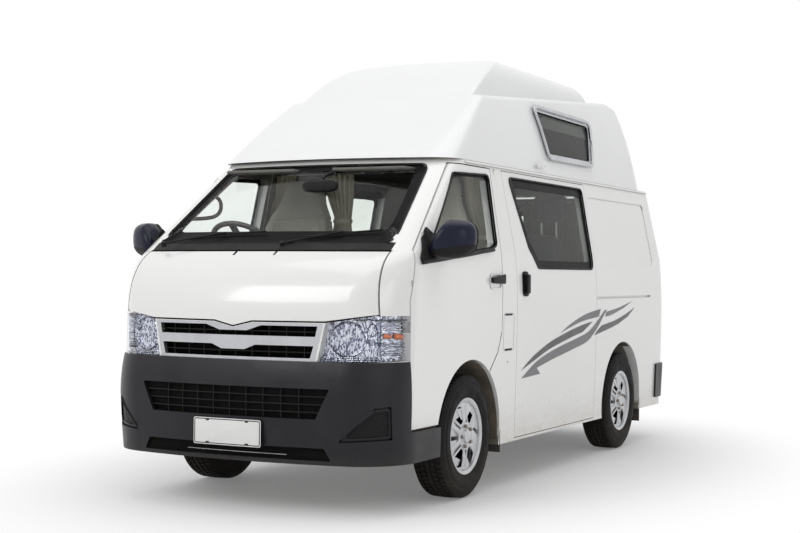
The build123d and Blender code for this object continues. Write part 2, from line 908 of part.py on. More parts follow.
spare_carrier = block(
    (spare_x - carrier_half, -rail_in_y, rail_low_z),
    (spare_x + carrier_half, rail_in_y, rail_low_z + carrier_thickness),
)
with BuildPart() as chassis_rails:
    add([rail_left, mirror(rail_left, about=Plane.XZ), rear_member, spare_carrier])
    with BuildSketch(Plane.XY.offset(rail_low_z)):
        with Locations((hitch_x, 0)):
            with GridLocations(hitch_spacing, 2 * rail_middle_y, 2, 2):
                Circle(hitch_hole_radius)
    extrude(amount=hitch_hole_depth, mode=Mode.SUBTRACT)
pieces["chassis_rails"] = chassis_rails.part

# Engine as one block between the rails, resting on them by its mounts
engine_back_x = 930.0
engine_front_x = 1560.0
engine_half_width = 250.0
engine_low_z = 340.0
engine_top_z = 735.0
mount_x = 1240.0
mount_length = 90.0
mount_height = 30.0
pieces["engine"] = joined(
    block(
        (engine_back_x, -engine_half_width, engine_low_z), (engine_front_x, engine_half_width, engine_top_z)
    ),
    block(
        (mount_x, -rail_in_y - rail_width / 2, front_rail_top_z),
        (mount_x + mount_length, rail_in_y + rail_width / 2, front_rail_top_z + mount_height),
    ),
)

# Front suspension: cross member, lower and upper arms on each side
kingpin_y = 655.0
arm_half_base = 140.0
arm_tip = 32.0
arm_tip_y = 628.0
arm_base_y = 330.0
lower_arm_z = 238.0
upper_arm_z = 428.0
arm_height = 24.0
crossmember_half = 60.0
crossmember_low_z = 225.0
arm_shares = ((0.0, -1.0), (0.0, 1.0), (1.0, 0.23), (1.0, -0.23))


def wishbone(low_z):
    """Flat tapered arm from the rail to the kingpin, left side."""
    with BuildPart() as arm:
        with BuildSketch(Plane.XY.offset(low_z)):
            with BuildLine():
                Polyline(
                    *[
                        (front_axle_x + x * arm_half_base, arm_base_y + y * (arm_tip_y - arm_base_y))
                        for y, x in arm_shares
                    ],
                    close=True,
                )
            make_face()
            with Locations((front_axle_x, kingpin_y)):
                Circle(arm_tip)
        extrude(amount=arm_height)
    return arm.part


suspension_left = joined(
    wishbone(lower_arm_z),
    block(
        (front_axle_x - arm_half_base, arm_base_y, crossmember_low_z),
        (front_axle_x + arm_half_base, rail_in_y + rail_width, front_rail_low_z),
    ),
    block(
        (front_axle_x - arm_half_base, rail_in_y + rail_width, upper_arm_z - arm_height),
        (front_axle_x + arm_half_base, rail_in_y + rail_width + arm_height, upper_arm_z + arm_height),
    ),
    common(
        wishbone(upper_arm_z),
        block((0, rail_in_y + rail_width, 0), (half_length, side_reach, roof_z)),
    ),
)
pieces["front_suspension"] = joined(
    suspension_left,
    mirror(suspension_left, about=Plane.XZ),
    block(
        (front_axle_x - crossmember_half, -arm_base_y, crossmember_low_z),
        (front_axle_x + crossmember_half, arm_base_y, crossmember_low_z + crossmember_half),
    ),
)

# Steered knuckles with the stub axle and brake disc
spindle_radius = 30.0
bearing_play = 0.3
spindle_end_y = 795.0
knuckle_half = 34.0
knuckle_in_y = 630.0
knuckle_out_y = 690.0
knuckle_low_z = lower_arm_z + arm_height + seat_gap
knuckle_high_z = upper_arm_z - seat_gap
disc_radius = 138.0
disc_thickness = 20.0
knuckle_left = joined(
    block(
        (front_axle_x - knuckle_half, knuckle_in_y, knuckle_low_z),
        (front_axle_x + knuckle_half, knuckle_out_y, knuckle_high_z),
    ),
    cross_cylinder(front_axle_x, tyre_radius, spindle_radius, knuckle_out_y, spindle_end_y),
    cross_cylinder(front_axle_x, tyre_radius, disc_radius, knuckle_out_y, knuckle_out_y + disc_thickness),
)
pieces["knuckle_left"] = knuckle_left
pieces["knuckle_right"] = mirror(knuckle_left, about=Plane.XZ)

# Wheels: six-spoke rims and tyres, modelled about the wheel centre
flange_radius = 206.0
flange_half = 86.0
flange_width = 8.0
barrel_radius = 189.7
barrel_thickness = 10.0
hub_radius = 76.0
hub_back = 28.0
hub_face = 80.0
cap_radius = 42.0
cap_face = 90.0
spoke_count = 6
spoke_root = 58.0
spoke_tip = 62.0
spoke_back = 54.0
spoke_face = 78.0
tread_half = 72.0
bulge_radius = 255.0
shoulder_radius = 312.0
groove_depth = 8.0
groove_width = 9.0
groove_places = (-36.0, 0.0, 36.0)
bearing_depth = spindle_end_y - wheel_centre_y + overrun - hub_back + bearing_play

with BuildSketch() as spoke:
    with BuildLine():
        Polyline(
            (0, -spoke_root / 2),
            (barrel_radius - barrel_thickness / 2, -spoke_tip / 2),
            (barrel_radius - barrel_thickness / 2, spoke_tip / 2),
            (0, spoke_root / 2),
            close=True,
        )
    make_face()

with BuildPart() as rim:
    with BuildSketch(Plane.XY):
        with BuildLine():
            Polyline(
                (barrel_radius - barrel_thickness, -flange_half),
                (flange_radius, -flange_half),
                (flange_radius, flange_width - flange_half),
                (barrel_radius, flange_width - flange_half),
                (barrel_radius, flange_half - flange_width),
                (flange_radius, flange_half - flange_width),
                (flange_radius, flange_half),
                (barrel_radius - barrel_thickness, flange_half),
                close=True,
            )
        make_face()
    revolve(axis=Axis.Y)
    with BuildSketch(Plane.XZ.offset(-hub_back)):
        Circle(hub_radius)
    extrude(amount=hub_back - hub_face)
    with BuildSketch(Plane.XZ.offset(-hub_face)):
        Circle(cap_radius)
    extrude(amount=hub_face - cap_face)
    with BuildSketch(Plane.XZ.offset(-spoke_back)):
        with PolarLocations(0, spoke_count):
            add(spoke.sketch)
    extrude(amount=spoke_back - spoke_face)
    with BuildSketch(Plane.XZ.offset(-(hub_back - overrun))):
        Circle(spindle_radius + bearing_play)
    extrude(amount=-bearing_depth, mode=Mode.SUBTRACT)

with BuildPart() as tyre:
    with BuildSketch(Plane.XY):
        with BuildLine():
            Polyline(
                (rim_radius, flange_width - flange_half + seat_gap),
                (flange_radius, flange_width - flange_half + seat_gap),
                (flange_radius + seat_gap, -flange_half),
                (bulge_radius, -tyre_width / 2),
                (shoulder_radius, -(tyre_width + 2 * tread_half) / 4 - seat_gap),
                (tyre_radius, -tread_half),
                (tyre_radius, tread_half),
                (shoulder_radius, (tyre_width + 2 * tread_half) / 4 + seat_gap),
                (bulge_radius, tyre_width / 2),
                (flange_radius + seat_gap, flange_half),
                (flange_radius, flange_half - flange_width - seat_gap),
                (rim_radius, flange_half - flange_width - seat_gap),
                close=True,
            )
        make_face()
        with Locations(*[(tyre_radius, place) for place in groove_places]):
            Rectangle(2 * groove_depth, groove_width, mode=Mode.SUBTRACT)
    revolve(axis=Axis.Y)

corners = (
    ("front_left", front_axle_x, 1),
    ("front_right", front_axle_x, -1),
    ("rear_left", rear_axle_x, 1),
    ("rear_right", rear_axle_x, -1),
)
for corner, axle_x, side in corners:
    place = Location((axle_x, wheel_centre_y, tyre_radius))
    rim_there = rim.part.moved(place)
    tyre_there = tyre.part.moved(place)
    if side < 0:
        rim_there = mirror(rim_there, about=Plane.XZ)
        tyre_there = mirror(tyre_there, about=Plane.XZ)
    pieces[f"rim_{corner}"] = rim_there
    pieces[f"tyre_{corner}"] = tyre_there

# Rear axle: tube, middle housing, drums, stub ends and leaf springs
axle_radius = 38.0
housing_radius = 115.0
housing_half = 90.0
drum_radius = 135.0
drum_in_y = 640.0
drum_out_y = 700.0
spring_in_y = 500.0
spring_width = 60.0
spring_thickness = 26.0
spring_half_length = 560.0
spring_low_z = tyre_radius - axle_radius - spring_thickness
hanger_length = 50.0
hanger_z = spring_low_z + spring_thickness
axle_left = joined(
    cross_cylinder(rear_axle_x, tyre_radius, axle_radius, 0, drum_in_y),
    cross_cylinder(rear_axle_x, tyre_radius, housing_radius, 0, housing_half),
    cross_cylinder(rear_axle_x, tyre_radius, drum_radius, drum_in_y, drum_out_y),
    cross_cylinder(rear_axle_x, tyre_radius, spindle_radius, drum_out_y, spindle_end_y),
    block(
        (rear_axle_x - spring_half_length, spring_in_y, spring_low_z),
        (rear_axle_x + spring_half_length, spring_in_y + spring_width, spring_low_z + spring_thickness),
    ),
    block(
        (rear_axle_x - hanger_length, spring_in_y, spring_low_z),
        (rear_axle_x + hanger_length, spring_in_y + spring_width, tyre_radius),
    ),
    block(
        (rear_axle_x - spring_half_length, spring_in_y, hanger_z),
        (rear_axle_x - spring_half_length + hanger_length, spring_in_y + spring_width, floor_bottom_z),
    ),
    block(
        (rear_axle_x + spring_half_length - hanger_length, spring_in_y, hanger_z),
        (rear_axle_x + spring_half_length, spring_in_y + spring_width, floor_bottom_z),
    ),
)
pieces["rear_axle"] = both_sides(axle_left)

# Exhaust, fuel tank and spare wheel under the floor
pipe_radius = 26.0
pipe_y = -220.0
pipe_z = 420.0
silencer_radius = 85.0
silencer_back_x = -600.0
silencer_front_x = 0.0
pipe_back_x = -1525.0
strap_x = -300.0
strap_length = 40.0
with BuildPart() as exhaust:
    with BuildSketch(Plane.YZ.offset(pipe_back_x)):
        with Locations((pipe_y, pipe_z)):
            Circle(pipe_radius)
    extrude(amount=engine_back_x - pipe_back_x)
    with BuildSketch(Plane.YZ.offset(silencer_back_x)):
        with Locations((pipe_y, pipe_z)):
            Circle(silencer_radius)
    extrude(amount=silencer_front_x - silencer_back_x)
    add(
        block(
            (strap_x, pipe_y - strap_length / 2, pipe_z),
            (strap_x + strap_length, pipe_y + strap_length / 2, floor_bottom_z),
        )
    )
tank_back_x = -520.0
tank_front_x = 420.0
tank_in_y = 400.0
tank_out_y = 735.0
tank_low_z = 330.0
tank_edge = 40.0
spare_edge = 28.0
with BuildPart() as fuel_tank:
    add(block((tank_back_x, tank_in_y, tank_low_z), (tank_front_x, tank_out_y, floor_bottom_z)))
    fillet(edges().filter_by(Axis.X).sort_by(Axis.Z)[:2], tank_edge)
spare_hub_radius = 60.0
spare_top_z = rail_low_z
spare_low_z = spare_top_z - tyre_width
with BuildPart() as spare_wheel:
    with BuildSketch(Plane.XY.offset(spare_low_z)):
        with Locations((spare_x, 0)):
            Circle(tyre_radius)
            Circle(rim_radius, mode=Mode.SUBTRACT)
    extrude(amount=tyre_width)
    fillet(edges().filter_by(GeomType.CIRCLE).sort_by(SortBy.RADIUS)[-2:], spare_edge)
    with BuildSketch(Plane.XY.offset(spare_low_z + tank_edge)):
        with Locations((spare_x, 0)):
            Circle(rim_radius)
            Circle(spare_hub_radius, mode=Mode.SUBTRACT)
    extrude(amount=pipe_radius)
pieces["exhaust"] = exhaust.part
pieces["fuel_tank"] = fuel_tank.part
pieces["spare_wheel"] = spare_wheel.part

# Mud flaps behind the wheels, hung from the arches
flap_thickness = 8.0
flap_in_y = 640.0
flap_out_y = 832.0
front_flap_x = 880.0
front_flap_low_z = 200.0
front_flap_top_z = 520.0
rear_flap_x = -1660.0
rear_flap_low_z = 155.0
flap_places = (
    (front_flap_x, front_flap_low_z, front_flap_top_z),
    (rear_flap_x, rear_flap_low_z, front_flap_top_z),
)
flaps = [
    block((x - flap_thickness, flap_in_y, low), (x, flap_out_y, high)) for x, low, high in flap_places
]
pieces["mud_flaps"] = both_sides(without(joined(*flaps), side_base))

# Rear bumper round the back corners
rear_bumper_proud = 13.5
rear_bumper_low_z = 300.0
rear_bumper_top_z = 545.0
rear_bumper_front_x = -2010.0
pieces["rear_bumper"] = without(
    common(
        body_volume(-rear_bumper_proud),
        block(
            (-half_length, -side_reach, rear_bumper_low_z),
            (rear_bumper_front_x, side_reach, rear_bumper_top_z),
        ),
    ),
    body_volume(-seat_gap),
)

# Dashboard with an instrument hood and the steering column
dash_front_x = bulkhead_x - wheel_house - seat_gap
dash_low_z = 760.0
dash_high_z = 1290.0
dash_screen_x = 2015.0
dash_screen_z = 1318.0
dash_knee_x = 1740.0
dash_knee_z = 930.0
dash_face_x = 1672.0
dash_face_z = 1210.0
dash_lip_x = 1705.0
pillar_swing_radius = 145.0
pillar_swing_low_z = 1280.0
driver_y = -420.0
steering_x = 1560.0
steering_z = 1335.0
steering_tilt = 40.0
steering_radius = 190.0
grip_radius = 15.0
steering_hub_radius = 70.0
steering_hub_half = 18.0
steering_spoke_width = 34.0
steering_spoke_half = 8.0
column_radius = 42.0
column_start = 26.0
column_length = 240.0
hood_half_width = 190.0
hood_back_x = 1700.0
hood_front_x = 1900.0
hood_top_z = 1345.0
steering_plane = Plane(
    origin=(steering_x, driver_y, steering_z),
    x_dir=(0, 1, 0),
    z_dir=(-sin(radians(steering_tilt)), 0, cos(radians(steering_tilt))),
)
grip_plane = Plane(
    origin=steering_plane.origin, x_dir=steering_plane.x_dir, z_dir=steering_plane.y_dir
)
with BuildPart() as steering_wheel:
    with BuildSketch(grip_plane):
        with Locations((steering_radius, 0)):
            Circle(grip_radius)
    revolve(axis=Axis(steering_plane.origin, steering_plane.z_dir))
    with BuildSketch(steering_plane.offset(-steering_hub_half)):
        Circle(steering_hub_radius)
    extrude(amount=2 * steering_hub_half)
    with BuildSketch(steering_plane.offset(-steering_spoke_half)):
        with Locations((steering_radius / 2, 0), (-steering_radius / 2, 0)):
            Rectangle(steering_radius, steering_spoke_width)
        with Locations((0, -steering_radius / 2)):
            Rectangle(steering_spoke_width, steering_radius)
    extrude(amount=2 * steering_spoke_half)
with BuildPart() as column:
    with BuildSketch(steering_plane.offset(-column_start - column_length)):
        Circle(column_radius)
    extrude(amount=column_length)
with BuildPart() as spigot:
    with BuildSketch(steering_plane.offset(-column_start - seat_gap)):
        Circle(grip_radius)
    extrude(amount=column_start - steering_hub_half)
with BuildPart() as dash_prism:
    with BuildSketch(Plane.XZ.offset(-side_reach)):
        with BuildLine():
            Polyline(
                (dash_front_x, dash_low_z),
                (dash_front_x, dash_high_z),
                (dash_screen_x, dash_screen_z),
                (dash_lip_x, dash_high_z),
                (dash_face_x, dash_face_z),
                (dash_knee_x, dash_knee_z),
                close=True,
            )
        make_face()
    extrude(amount=2 * side_reach)
dash_block = common(clear_lining, dash_prism.part)
hood = block(
    (hood_back_x, driver_y - hood_half_width, dash_high_z - overrun),
    (hood_front_x, driver_y + hood_half_width, hood_top_z),
)
dash_swing = upright_cylinder(
    hinge_x, hinge_y, door_swing_radius, 0, dash_screen_z + overrun
)
# The inner corner of the door's pillar sweeps over the ends of the dashboard's top
pillar_swing = upright_cylinder(
    hinge_x, hinge_y, pillar_swing_radius, pillar_swing_low_z, dash_screen_z + overrun
)
pieces["dashboard"] = joined(
    without(dash_block, both_sides(dash_swing), both_sides(pillar_swing)),
    hood,
    column.part,
    spigot.part,
)
pieces["steering_wheel"] = steering_wheel.part

# Front seats: a pedestal, a cushion and a tall leaning back on each side
seat_y = 440.0
seat_half_width = 245.0
seat_front_x = 1470.0
seat_back_x = 985.0
pedestal_half_width = 190.0
pedestal_top_z = 880.0
cushion_top_z = 1010.0
back_foot_x = 1060.0
back_top_x = 865.0
back_top_z = 1762.0
back_thickness = 120.0
head_thickness = 90.0
back_edge = 35.0
with BuildPart() as front_seat:
    add(
        block(
            (seat_back_x, seat_y - pedestal_half_width, platform_top_z),
            (seat_front_x - back_edge, seat_y + pedestal_half_width, pedestal_top_z),
        )
    )
    with BuildSketch(Plane.XZ.offset(-seat_y - seat_half_width)):
        with BuildLine():
            Polyline(
                (seat_back_x, pedestal_top_z),
                (seat_front_x, pedestal_top_z),
                (seat_front_x, cushion_top_z),
                (back_foot_x, cushion_top_z - back_edge),
                (back_top_x + head_thickness / 2, back_top_z),
                (back_top_x - head_thickness / 2, back_top_z),
                (back_foot_x - back_thickness, pedestal_top_z),
                close=True,
            )
        make_face()
    extrude(amount=2 * seat_half_width)
pieces["front_seats"] = both_sides(front_seat.part)

# Camper furniture: a bench behind the cab and a cabinet along the right side
bench_front_x = -180.0
bench_back_x = -760.0
bench_half_width = 560.0
bench_top_z = 1040.0
bench_backrest = 130.0
bench_back_top_z = 1500.0
cabinet_front_x = -900.0
cabinet_back_x = -2150.0
cabinet_depth = 480.0
cabinet_top_z = 1500.0
bench = joined(
    block((bench_back_x, -bench_half_width, floor_z), (bench_front_x, bench_half_width, bench_top_z)),
    block(
        (bench_back_x, -bench_half_width, bench_top_z),
        (bench_back_x + bench_backrest, bench_half_width, bench_back_top_z),
    ),
)
cabinet = without(
    common(
        body_volume(wall + seat_gap),
        block(
            (cabinet_back_x, -half_width, floor_z),
            (cabinet_front_x, cabinet_depth - half_width, cabinet_top_z),
        ),
    ),
    both_sides(
        cross_cylinder(
            rear_arch_x,
            tyre_radius,
            arch_radius + wheel_house + seat_gap,
            rear_house_inner_y - seat_gap,
            half_width,
        )
    ),
)
pieces["camper_bench"] = bench
pieces["camper_cabinet"] = cabinet

# Curtains tied back behind the cab
curtain_x = 780.0
curtain_thickness = 40.0
curtain_in_y = 560.0
curtain_low_z = 1130.0
curtain_top_z = 1788.0
curtain_left = common(
    body_volume(wall + seat_gap),
    block(
        (curtain_x, curtain_in_y, curtain_low_z),
        (curtain_x + curtain_thickness, half_width, curtain_top_z),
    ),
)
pieces["curtains"] = both_sides(curtain_left)

# Door mirrors on their feet at the front of the door windows
mirror_back_x = 1690.0
mirror_front_x = 1800.0
mirror_in_y = 862.0
mirror_out_y = 1012.0
mirror_low_z = 1285.0
mirror_top_z = 1450.0
mirror_edge = 28.0
foot_back_x = 1715.0
foot_front_x = 1775.0
foot_low_z = 1240.0
foot_top_z = 1320.0
with BuildPart() as mirror_left:
    add(block((mirror_back_x, mirror_in_y, mirror_low_z), (mirror_front_x, mirror_out_y, mirror_top_z)))
    fillet(edges(), mirror_edge)
    add(
        block(
            (foot_back_x, half_width - wall, foot_low_z), (foot_front_x, mirror_in_y + overrun, foot_top_z)
        )
    )
    add(body_volume(-seat_gap), mode=Mode.SUBTRACT)
pieces["door_mirror_left"] = mirror_left.part
pieces["door_mirror_right"] = mirror(mirror_left.part, about=Plane.XZ)

for name, piece in pieces.items():
    piece.label = name
    export_step(piece, f"parts/{name}.step")
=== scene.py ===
from math import atan2, cos, pi, radians, sin, sqrt

import bpy
from mathutils import Matrix, Vector


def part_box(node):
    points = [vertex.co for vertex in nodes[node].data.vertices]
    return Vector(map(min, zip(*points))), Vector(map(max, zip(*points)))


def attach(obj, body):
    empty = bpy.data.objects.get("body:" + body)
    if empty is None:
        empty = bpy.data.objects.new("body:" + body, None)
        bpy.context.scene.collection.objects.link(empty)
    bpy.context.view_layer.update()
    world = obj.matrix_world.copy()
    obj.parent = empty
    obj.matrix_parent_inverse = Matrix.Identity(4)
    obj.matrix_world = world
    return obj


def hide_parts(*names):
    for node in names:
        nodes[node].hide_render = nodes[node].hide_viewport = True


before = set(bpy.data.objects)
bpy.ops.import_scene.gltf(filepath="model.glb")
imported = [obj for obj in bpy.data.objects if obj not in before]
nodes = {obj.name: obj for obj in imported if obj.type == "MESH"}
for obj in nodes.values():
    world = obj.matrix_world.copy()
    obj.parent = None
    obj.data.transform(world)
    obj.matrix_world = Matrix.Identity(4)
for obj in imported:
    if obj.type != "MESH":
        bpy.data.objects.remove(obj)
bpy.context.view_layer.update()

scene = bpy.context.scene

# Places that the pieces follow, in metres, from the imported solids
tyre_low, tyre_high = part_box("tyre_front_left")
rear_tyre_low, rear_tyre_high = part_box("tyre_rear_left")
front_axle_x = (tyre_low.x + tyre_high.x) / 2
rear_axle_x = (rear_tyre_low.x + rear_tyre_high.x) / 2
wheel_y = (tyre_low.y + tyre_high.y) / 2
wheel_z = (tyre_low.z + tyre_high.z) / 2

white = (1.0, 1.0, 1.0, 1.0)
sides = ((1, "left", "-Y"), (-1, "right", "+Y"))

# Planes outside the van, from which flat trim is dropped onto its surfaces
beside_plane, screen_plane, nose_plane, tail_plane = 0.95, 2.3, 2.5, -2.5

film = 0.0004  # thickness of prints and foils, which also lie that far off the glass or paint


# Modelling helpers

def clear_selection():
    """Nothing selected and nothing active."""
    for thing in list(bpy.context.selected_objects):
        thing.select_set(False)


def pick(piece):
    """Only this piece selected and active."""
    clear_selection()
    piece.hide_viewport = False
    piece.select_set(True)
    bpy.context.view_layer.objects.active = piece


def take(name):
    """The primitive that was just added, under its own name, settled at the origin."""
    piece = bpy.context.view_layer.objects.active
    piece.name = name
    piece.data.name = name
    settle(piece)
    return piece


def settle(piece):
    """Moves a piece's place into its mesh."""
    pick(piece)
    bpy.ops.object.transform_apply(location=True, rotation=True, scale=True)


def edit(piece, select="SELECT"):
    """Opens a piece in edit mode with all or none of it selected."""
    pick(piece)
    bpy.ops.object.mode_set(mode="EDIT")
    bpy.ops.mesh.select_all(action=select)


def leave():
    """Back to object mode."""
    bpy.ops.object.mode_set(mode="OBJECT")


def choose_faces(piece, test):
    """Edit mode with only the faces selected whose centre and normal pass the test."""
    pick(piece)
    bpy.ops.object.mode_set(mode="EDIT")
    bpy.ops.mesh.select_mode(type="FACE")
    bpy.ops.mesh.select_all(action="DESELECT")
    bpy.ops.object.mode_set(mode="OBJECT")
    for face in piece.data.polygons:
        face.select = bool(test(face.center, face.normal))
    bpy.ops.object.mode_set(mode="EDIT")


def modify(piece, kind, **values):
    """Adds a modifier and applies it."""
    pick(piece)
    modifier = piece.modifiers.new(kind.lower(), kind)
    for key, value in values.items():
        setattr(modifier, key, value)
    bpy.ops.object.modifier_apply(modifier=modifier.name)


def smooth(piece, angle=35.0):
    """Smooth shading except across sharp edges."""
    pick(piece)
    bpy.ops.object.shade_smooth_by_angle(angle=radians(angle))


def recalculate(piece):
    """Merges doubles and points all faces outwards."""
    edit(piece)
    bpy.ops.mesh.remove_doubles(threshold=0.00005)
    bpy.ops.mesh.normals_make_consistent(inside=False)
    leave()


def rounded_block(name, low, high, edge=0.004, segments=2):
    """Box with rounded edges between two corners."""
    clear_selection()
    centre = (Vector(low) + Vector(high)) / 2
    size = Vector(high) - Vector(low)
    bpy.ops.mesh.primitive_cube_add(size=1, location=centre)
    bpy.context.view_layer.objects.active.scale = size
    piece = take(name)
    edit(piece)
    bpy.ops.mesh.bevel(offset=min(edge, min(size) * 0.49), segments=segments, affect="EDGES")
    leave()
    smooth(piece)
    return piece


def side_block(name, low, high, side, *edge):
    """Rounded block whose Y is given for the left side, on either side."""
    y_low, y_high = sorted((low[1] * side, high[1] * side))
    return rounded_block(name, (low[0], y_low, low[2]), (high[0], y_high, high[2]), *edge)


def rod(name, start, end, radius, vertices=16, end_radius=None):
    """Round rod, or a taper, between two points."""
    clear_selection()
    start, end = Vector(start), Vector(end)
    along = end - start
    turn = along.to_track_quat("Z", "Y").to_euler()
    tip = radius if end_radius is None else end_radius
    bpy.ops.mesh.primitive_cone_add(
        vertices=vertices, radius1=radius, radius2=tip, depth=along.length,
        location=(start + end) / 2, rotation=turn,
    )
    piece = take(name)
    edit(piece)
    bpy.ops.mesh.bevel(offset=min(radius, tip) * 0.15 + 0.0001, segments=1, affect="EDGES")
    leave()
    smooth(piece)
    return piece


def ring_of(name, points, fill="NOTHING"):
    """Closed line through the given points."""
    clear_selection()
    bpy.ops.mesh.primitive_circle_add(vertices=len(points), radius=1, fill_type=fill)
    piece = take(name)
    for vertex, point in zip(piece.data.vertices, points):
        vertex.co = point
    return piece


def flat_outline(name, points):
    """Flat face with the given corners."""
    piece = ring_of(name, points, "NGON")
    piece.data.update()
    return piece


def open_ring(piece):
    """Takes the edge between a ring's first and last point away."""
    ends = {0, len(piece.data.vertices) - 1}
    last = max(edge.index for edge in piece.data.edges if ends == set(edge.vertices))
    edit(piece, "DESELECT")
    bpy.ops.mesh.select_mode(type="EDGE")
    leave()
    piece.data.edges[last].select = True
    pick(piece)
    bpy.ops.object.mode_set(mode="EDIT")
    bpy.ops.mesh.select_mode(type="EDGE")
    bpy.ops.mesh.delete(type="EDGE")
    bpy.ops.mesh.select_mode(type="VERT")
    leave()


def plate(name, points, push, edge=0.0, segments=2):
    """Plate of the given outline, pushed to its thickness, with rounded edges."""
    piece = flat_outline(name, points)
    edit(piece)
    bpy.ops.mesh.extrude_region_move(TRANSFORM_OT_translate={"value": push})
    bpy.ops.mesh.select_all(action="SELECT")
    bpy.ops.mesh.normals_make_consistent(inside=False)
    if edge:
        bpy.ops.mesh.bevel(offset=edge, segments=segments, affect="EDGES")
    leave()
    smooth(piece)
    return piece


def band(name, outer, inner):
    """Flat ring of quads between two outlines with as many corners."""
    piece = ring_of(name, outer)
    ring_of(name + "_inner", inner)
    piece.select_set(True)
    bpy.context.view_layer.objects.active = piece
    bpy.ops.object.join()
    edit(piece)
    bpy.ops.mesh.bridge_edge_loops()
    leave()
    return piece


def thicken(piece, thickness, offset=1.0):
    """Gives a sheet a wall."""
    modify(piece, "SOLIDIFY", thickness=thickness, offset=offset)


def copied(piece, name, matrix=None):
    """A copy with its own mesh, moved by a matrix."""
    twin = piece.copy()
    twin.data = piece.data.copy()
    twin.name = name
    scene.collection.objects.link(twin)
    if matrix is not None:
        twin.data.transform(matrix)
        if matrix.determinant() < 0:
            edit(twin)
            bpy.ops.mesh.flip_normals()
            leave()
    return twin


across = Matrix.Scale(-1, 4, (0, 1, 0))


def turned(place, angle):
    """Turn about the upright line through a place."""
    centre = Vector(place)
    return Matrix.Translation(centre) @ Matrix.Rotation(angle, 4, "Z") @ Matrix.Translation(-centre)


def mirror_over(piece):
    """Moves a finished piece to the van's right side."""
    piece.data.transform(across)
    edit(piece)
    bpy.ops.mesh.flip_normals()
    leave()


def fuse(name, *parts):
    """Several pieces joined as one object."""
    clear_selection()
    for part in parts:
        part.select_set(True)
    bpy.context.view_layer.objects.active = parts[0]
    bpy.ops.object.join()
    parts[0].name = name
    parts[0].data.name = name
    return parts[0]


# Shader groups

def new_group(name, inputs, outputs):
    """Empty shader group with named sockets."""
    tree = bpy.data.node_groups.new(name, "ShaderNodeTree")
    kinds = {"color": "NodeSocketColor", "value": "NodeSocketFloat", "vector": "NodeSocketVector"}
    for label, kind, default in inputs:
        socket = tree.interface.new_socket(name=label, in_out="INPUT", socket_type=kinds[kind])
        socket.default_value = default
    for label, kind in outputs:
        tree.interface.new_socket(name=label, in_out="OUTPUT", socket_type=kinds[kind])
    start = tree.nodes.new("NodeGroupInput")
    end = tree.nodes.new("NodeGroupOutput")
    return tree, start, end


def node(tree, kind, values=None, **settings):
    """New node with its settings and socket values."""
    made = tree.nodes.new("ShaderNode" + kind)
    for key, value in settings.items():
        setattr(made, key, value)
    for key, value in (values or {}).items():
        made.inputs[key].default_value = value
    return made


def feed(tree, sockets, items):
    """Links each item to its socket, or writes it there where it is a value."""
    for socket, item in zip(sockets, items):
        if isinstance(item, (int, float, tuple)):
            socket.default_value = item
        else:
            tree.links.new(item, socket)


def sum_node(tree, operation, first, second, clamp=False):
    """Math node between two links or numbers."""
    made = node(tree, "Math", operation=operation, use_clamp=clamp)
    feed(tree, made.inputs, (first, second))
    return made.outputs[0]


def ramp(tree, value, low, high, to_low=0.0, to_high=1.0):
    """Smooth step of a value between two limits."""
    made = node(tree, "MapRange", interpolation_type="SMOOTHSTEP")
    feed(tree, made.inputs, (value, low, high, to_low, to_high))
    return made.outputs[0]


def mix_colour(tree, mask, first, second):
    """Mix of two colours or links by a mask."""
    made = node(tree, "Mix", data_type="RGBA")
    feed(tree, (made.inputs[0], made.inputs[6], made.inputs[7]), (mask, first, second))
    return made.outputs[2]


def noise(tree, vector, scale, detail=4.0, roughness=0.55):
    """Noise value at a scale that may be a link."""
    made = node(tree, "TexNoise", {"Detail": detail, "Roughness": roughness})
    feed(tree, (made.inputs["Vector"], made.inputs["Scale"]), (vector, scale))
    return made.outputs[0]


def own_place(tree):
    """The object's own coordinates."""
    return node(tree, "TexCoord").outputs["Object"]


def add_relief(tree, shader, height, strength, distance):
    """Bumps of a height on a shader."""
    bumps = node(tree, "Bump", {"Strength": strength, "Distance": distance})
    tree.links.new(height, bumps.inputs["Height"])
    tree.links.new(bumps.outputs[0], shader.inputs["Normal"])


def new_material(name):
    """Material with its tree and its shader."""
    material = bpy.data.materials.new(name)
    material.use_nodes = True
    tree = material.node_tree
    return material, tree, tree.nodes["Principled BSDF"]


def make_mottle():
    """Two close shades in soft patches."""
    tree, start, end = new_group(
        "mottle",
        [("Color", "color", white), ("Second", "color", white), ("Scale", "value", 4.0)],
        [("Color", "color"), ("Mask", "value")],
    )
    place = own_place(tree)
    patches = noise(tree, place, start.outputs["Scale"])
    mask = ramp(tree, patches, 0.35, 0.68)
    tree.links.new(
        mix_colour(tree, mask, start.outputs["Color"], start.outputs["Second"]), end.inputs[0],
    )
    tree.links.new(mask, end.inputs[1])
    return tree


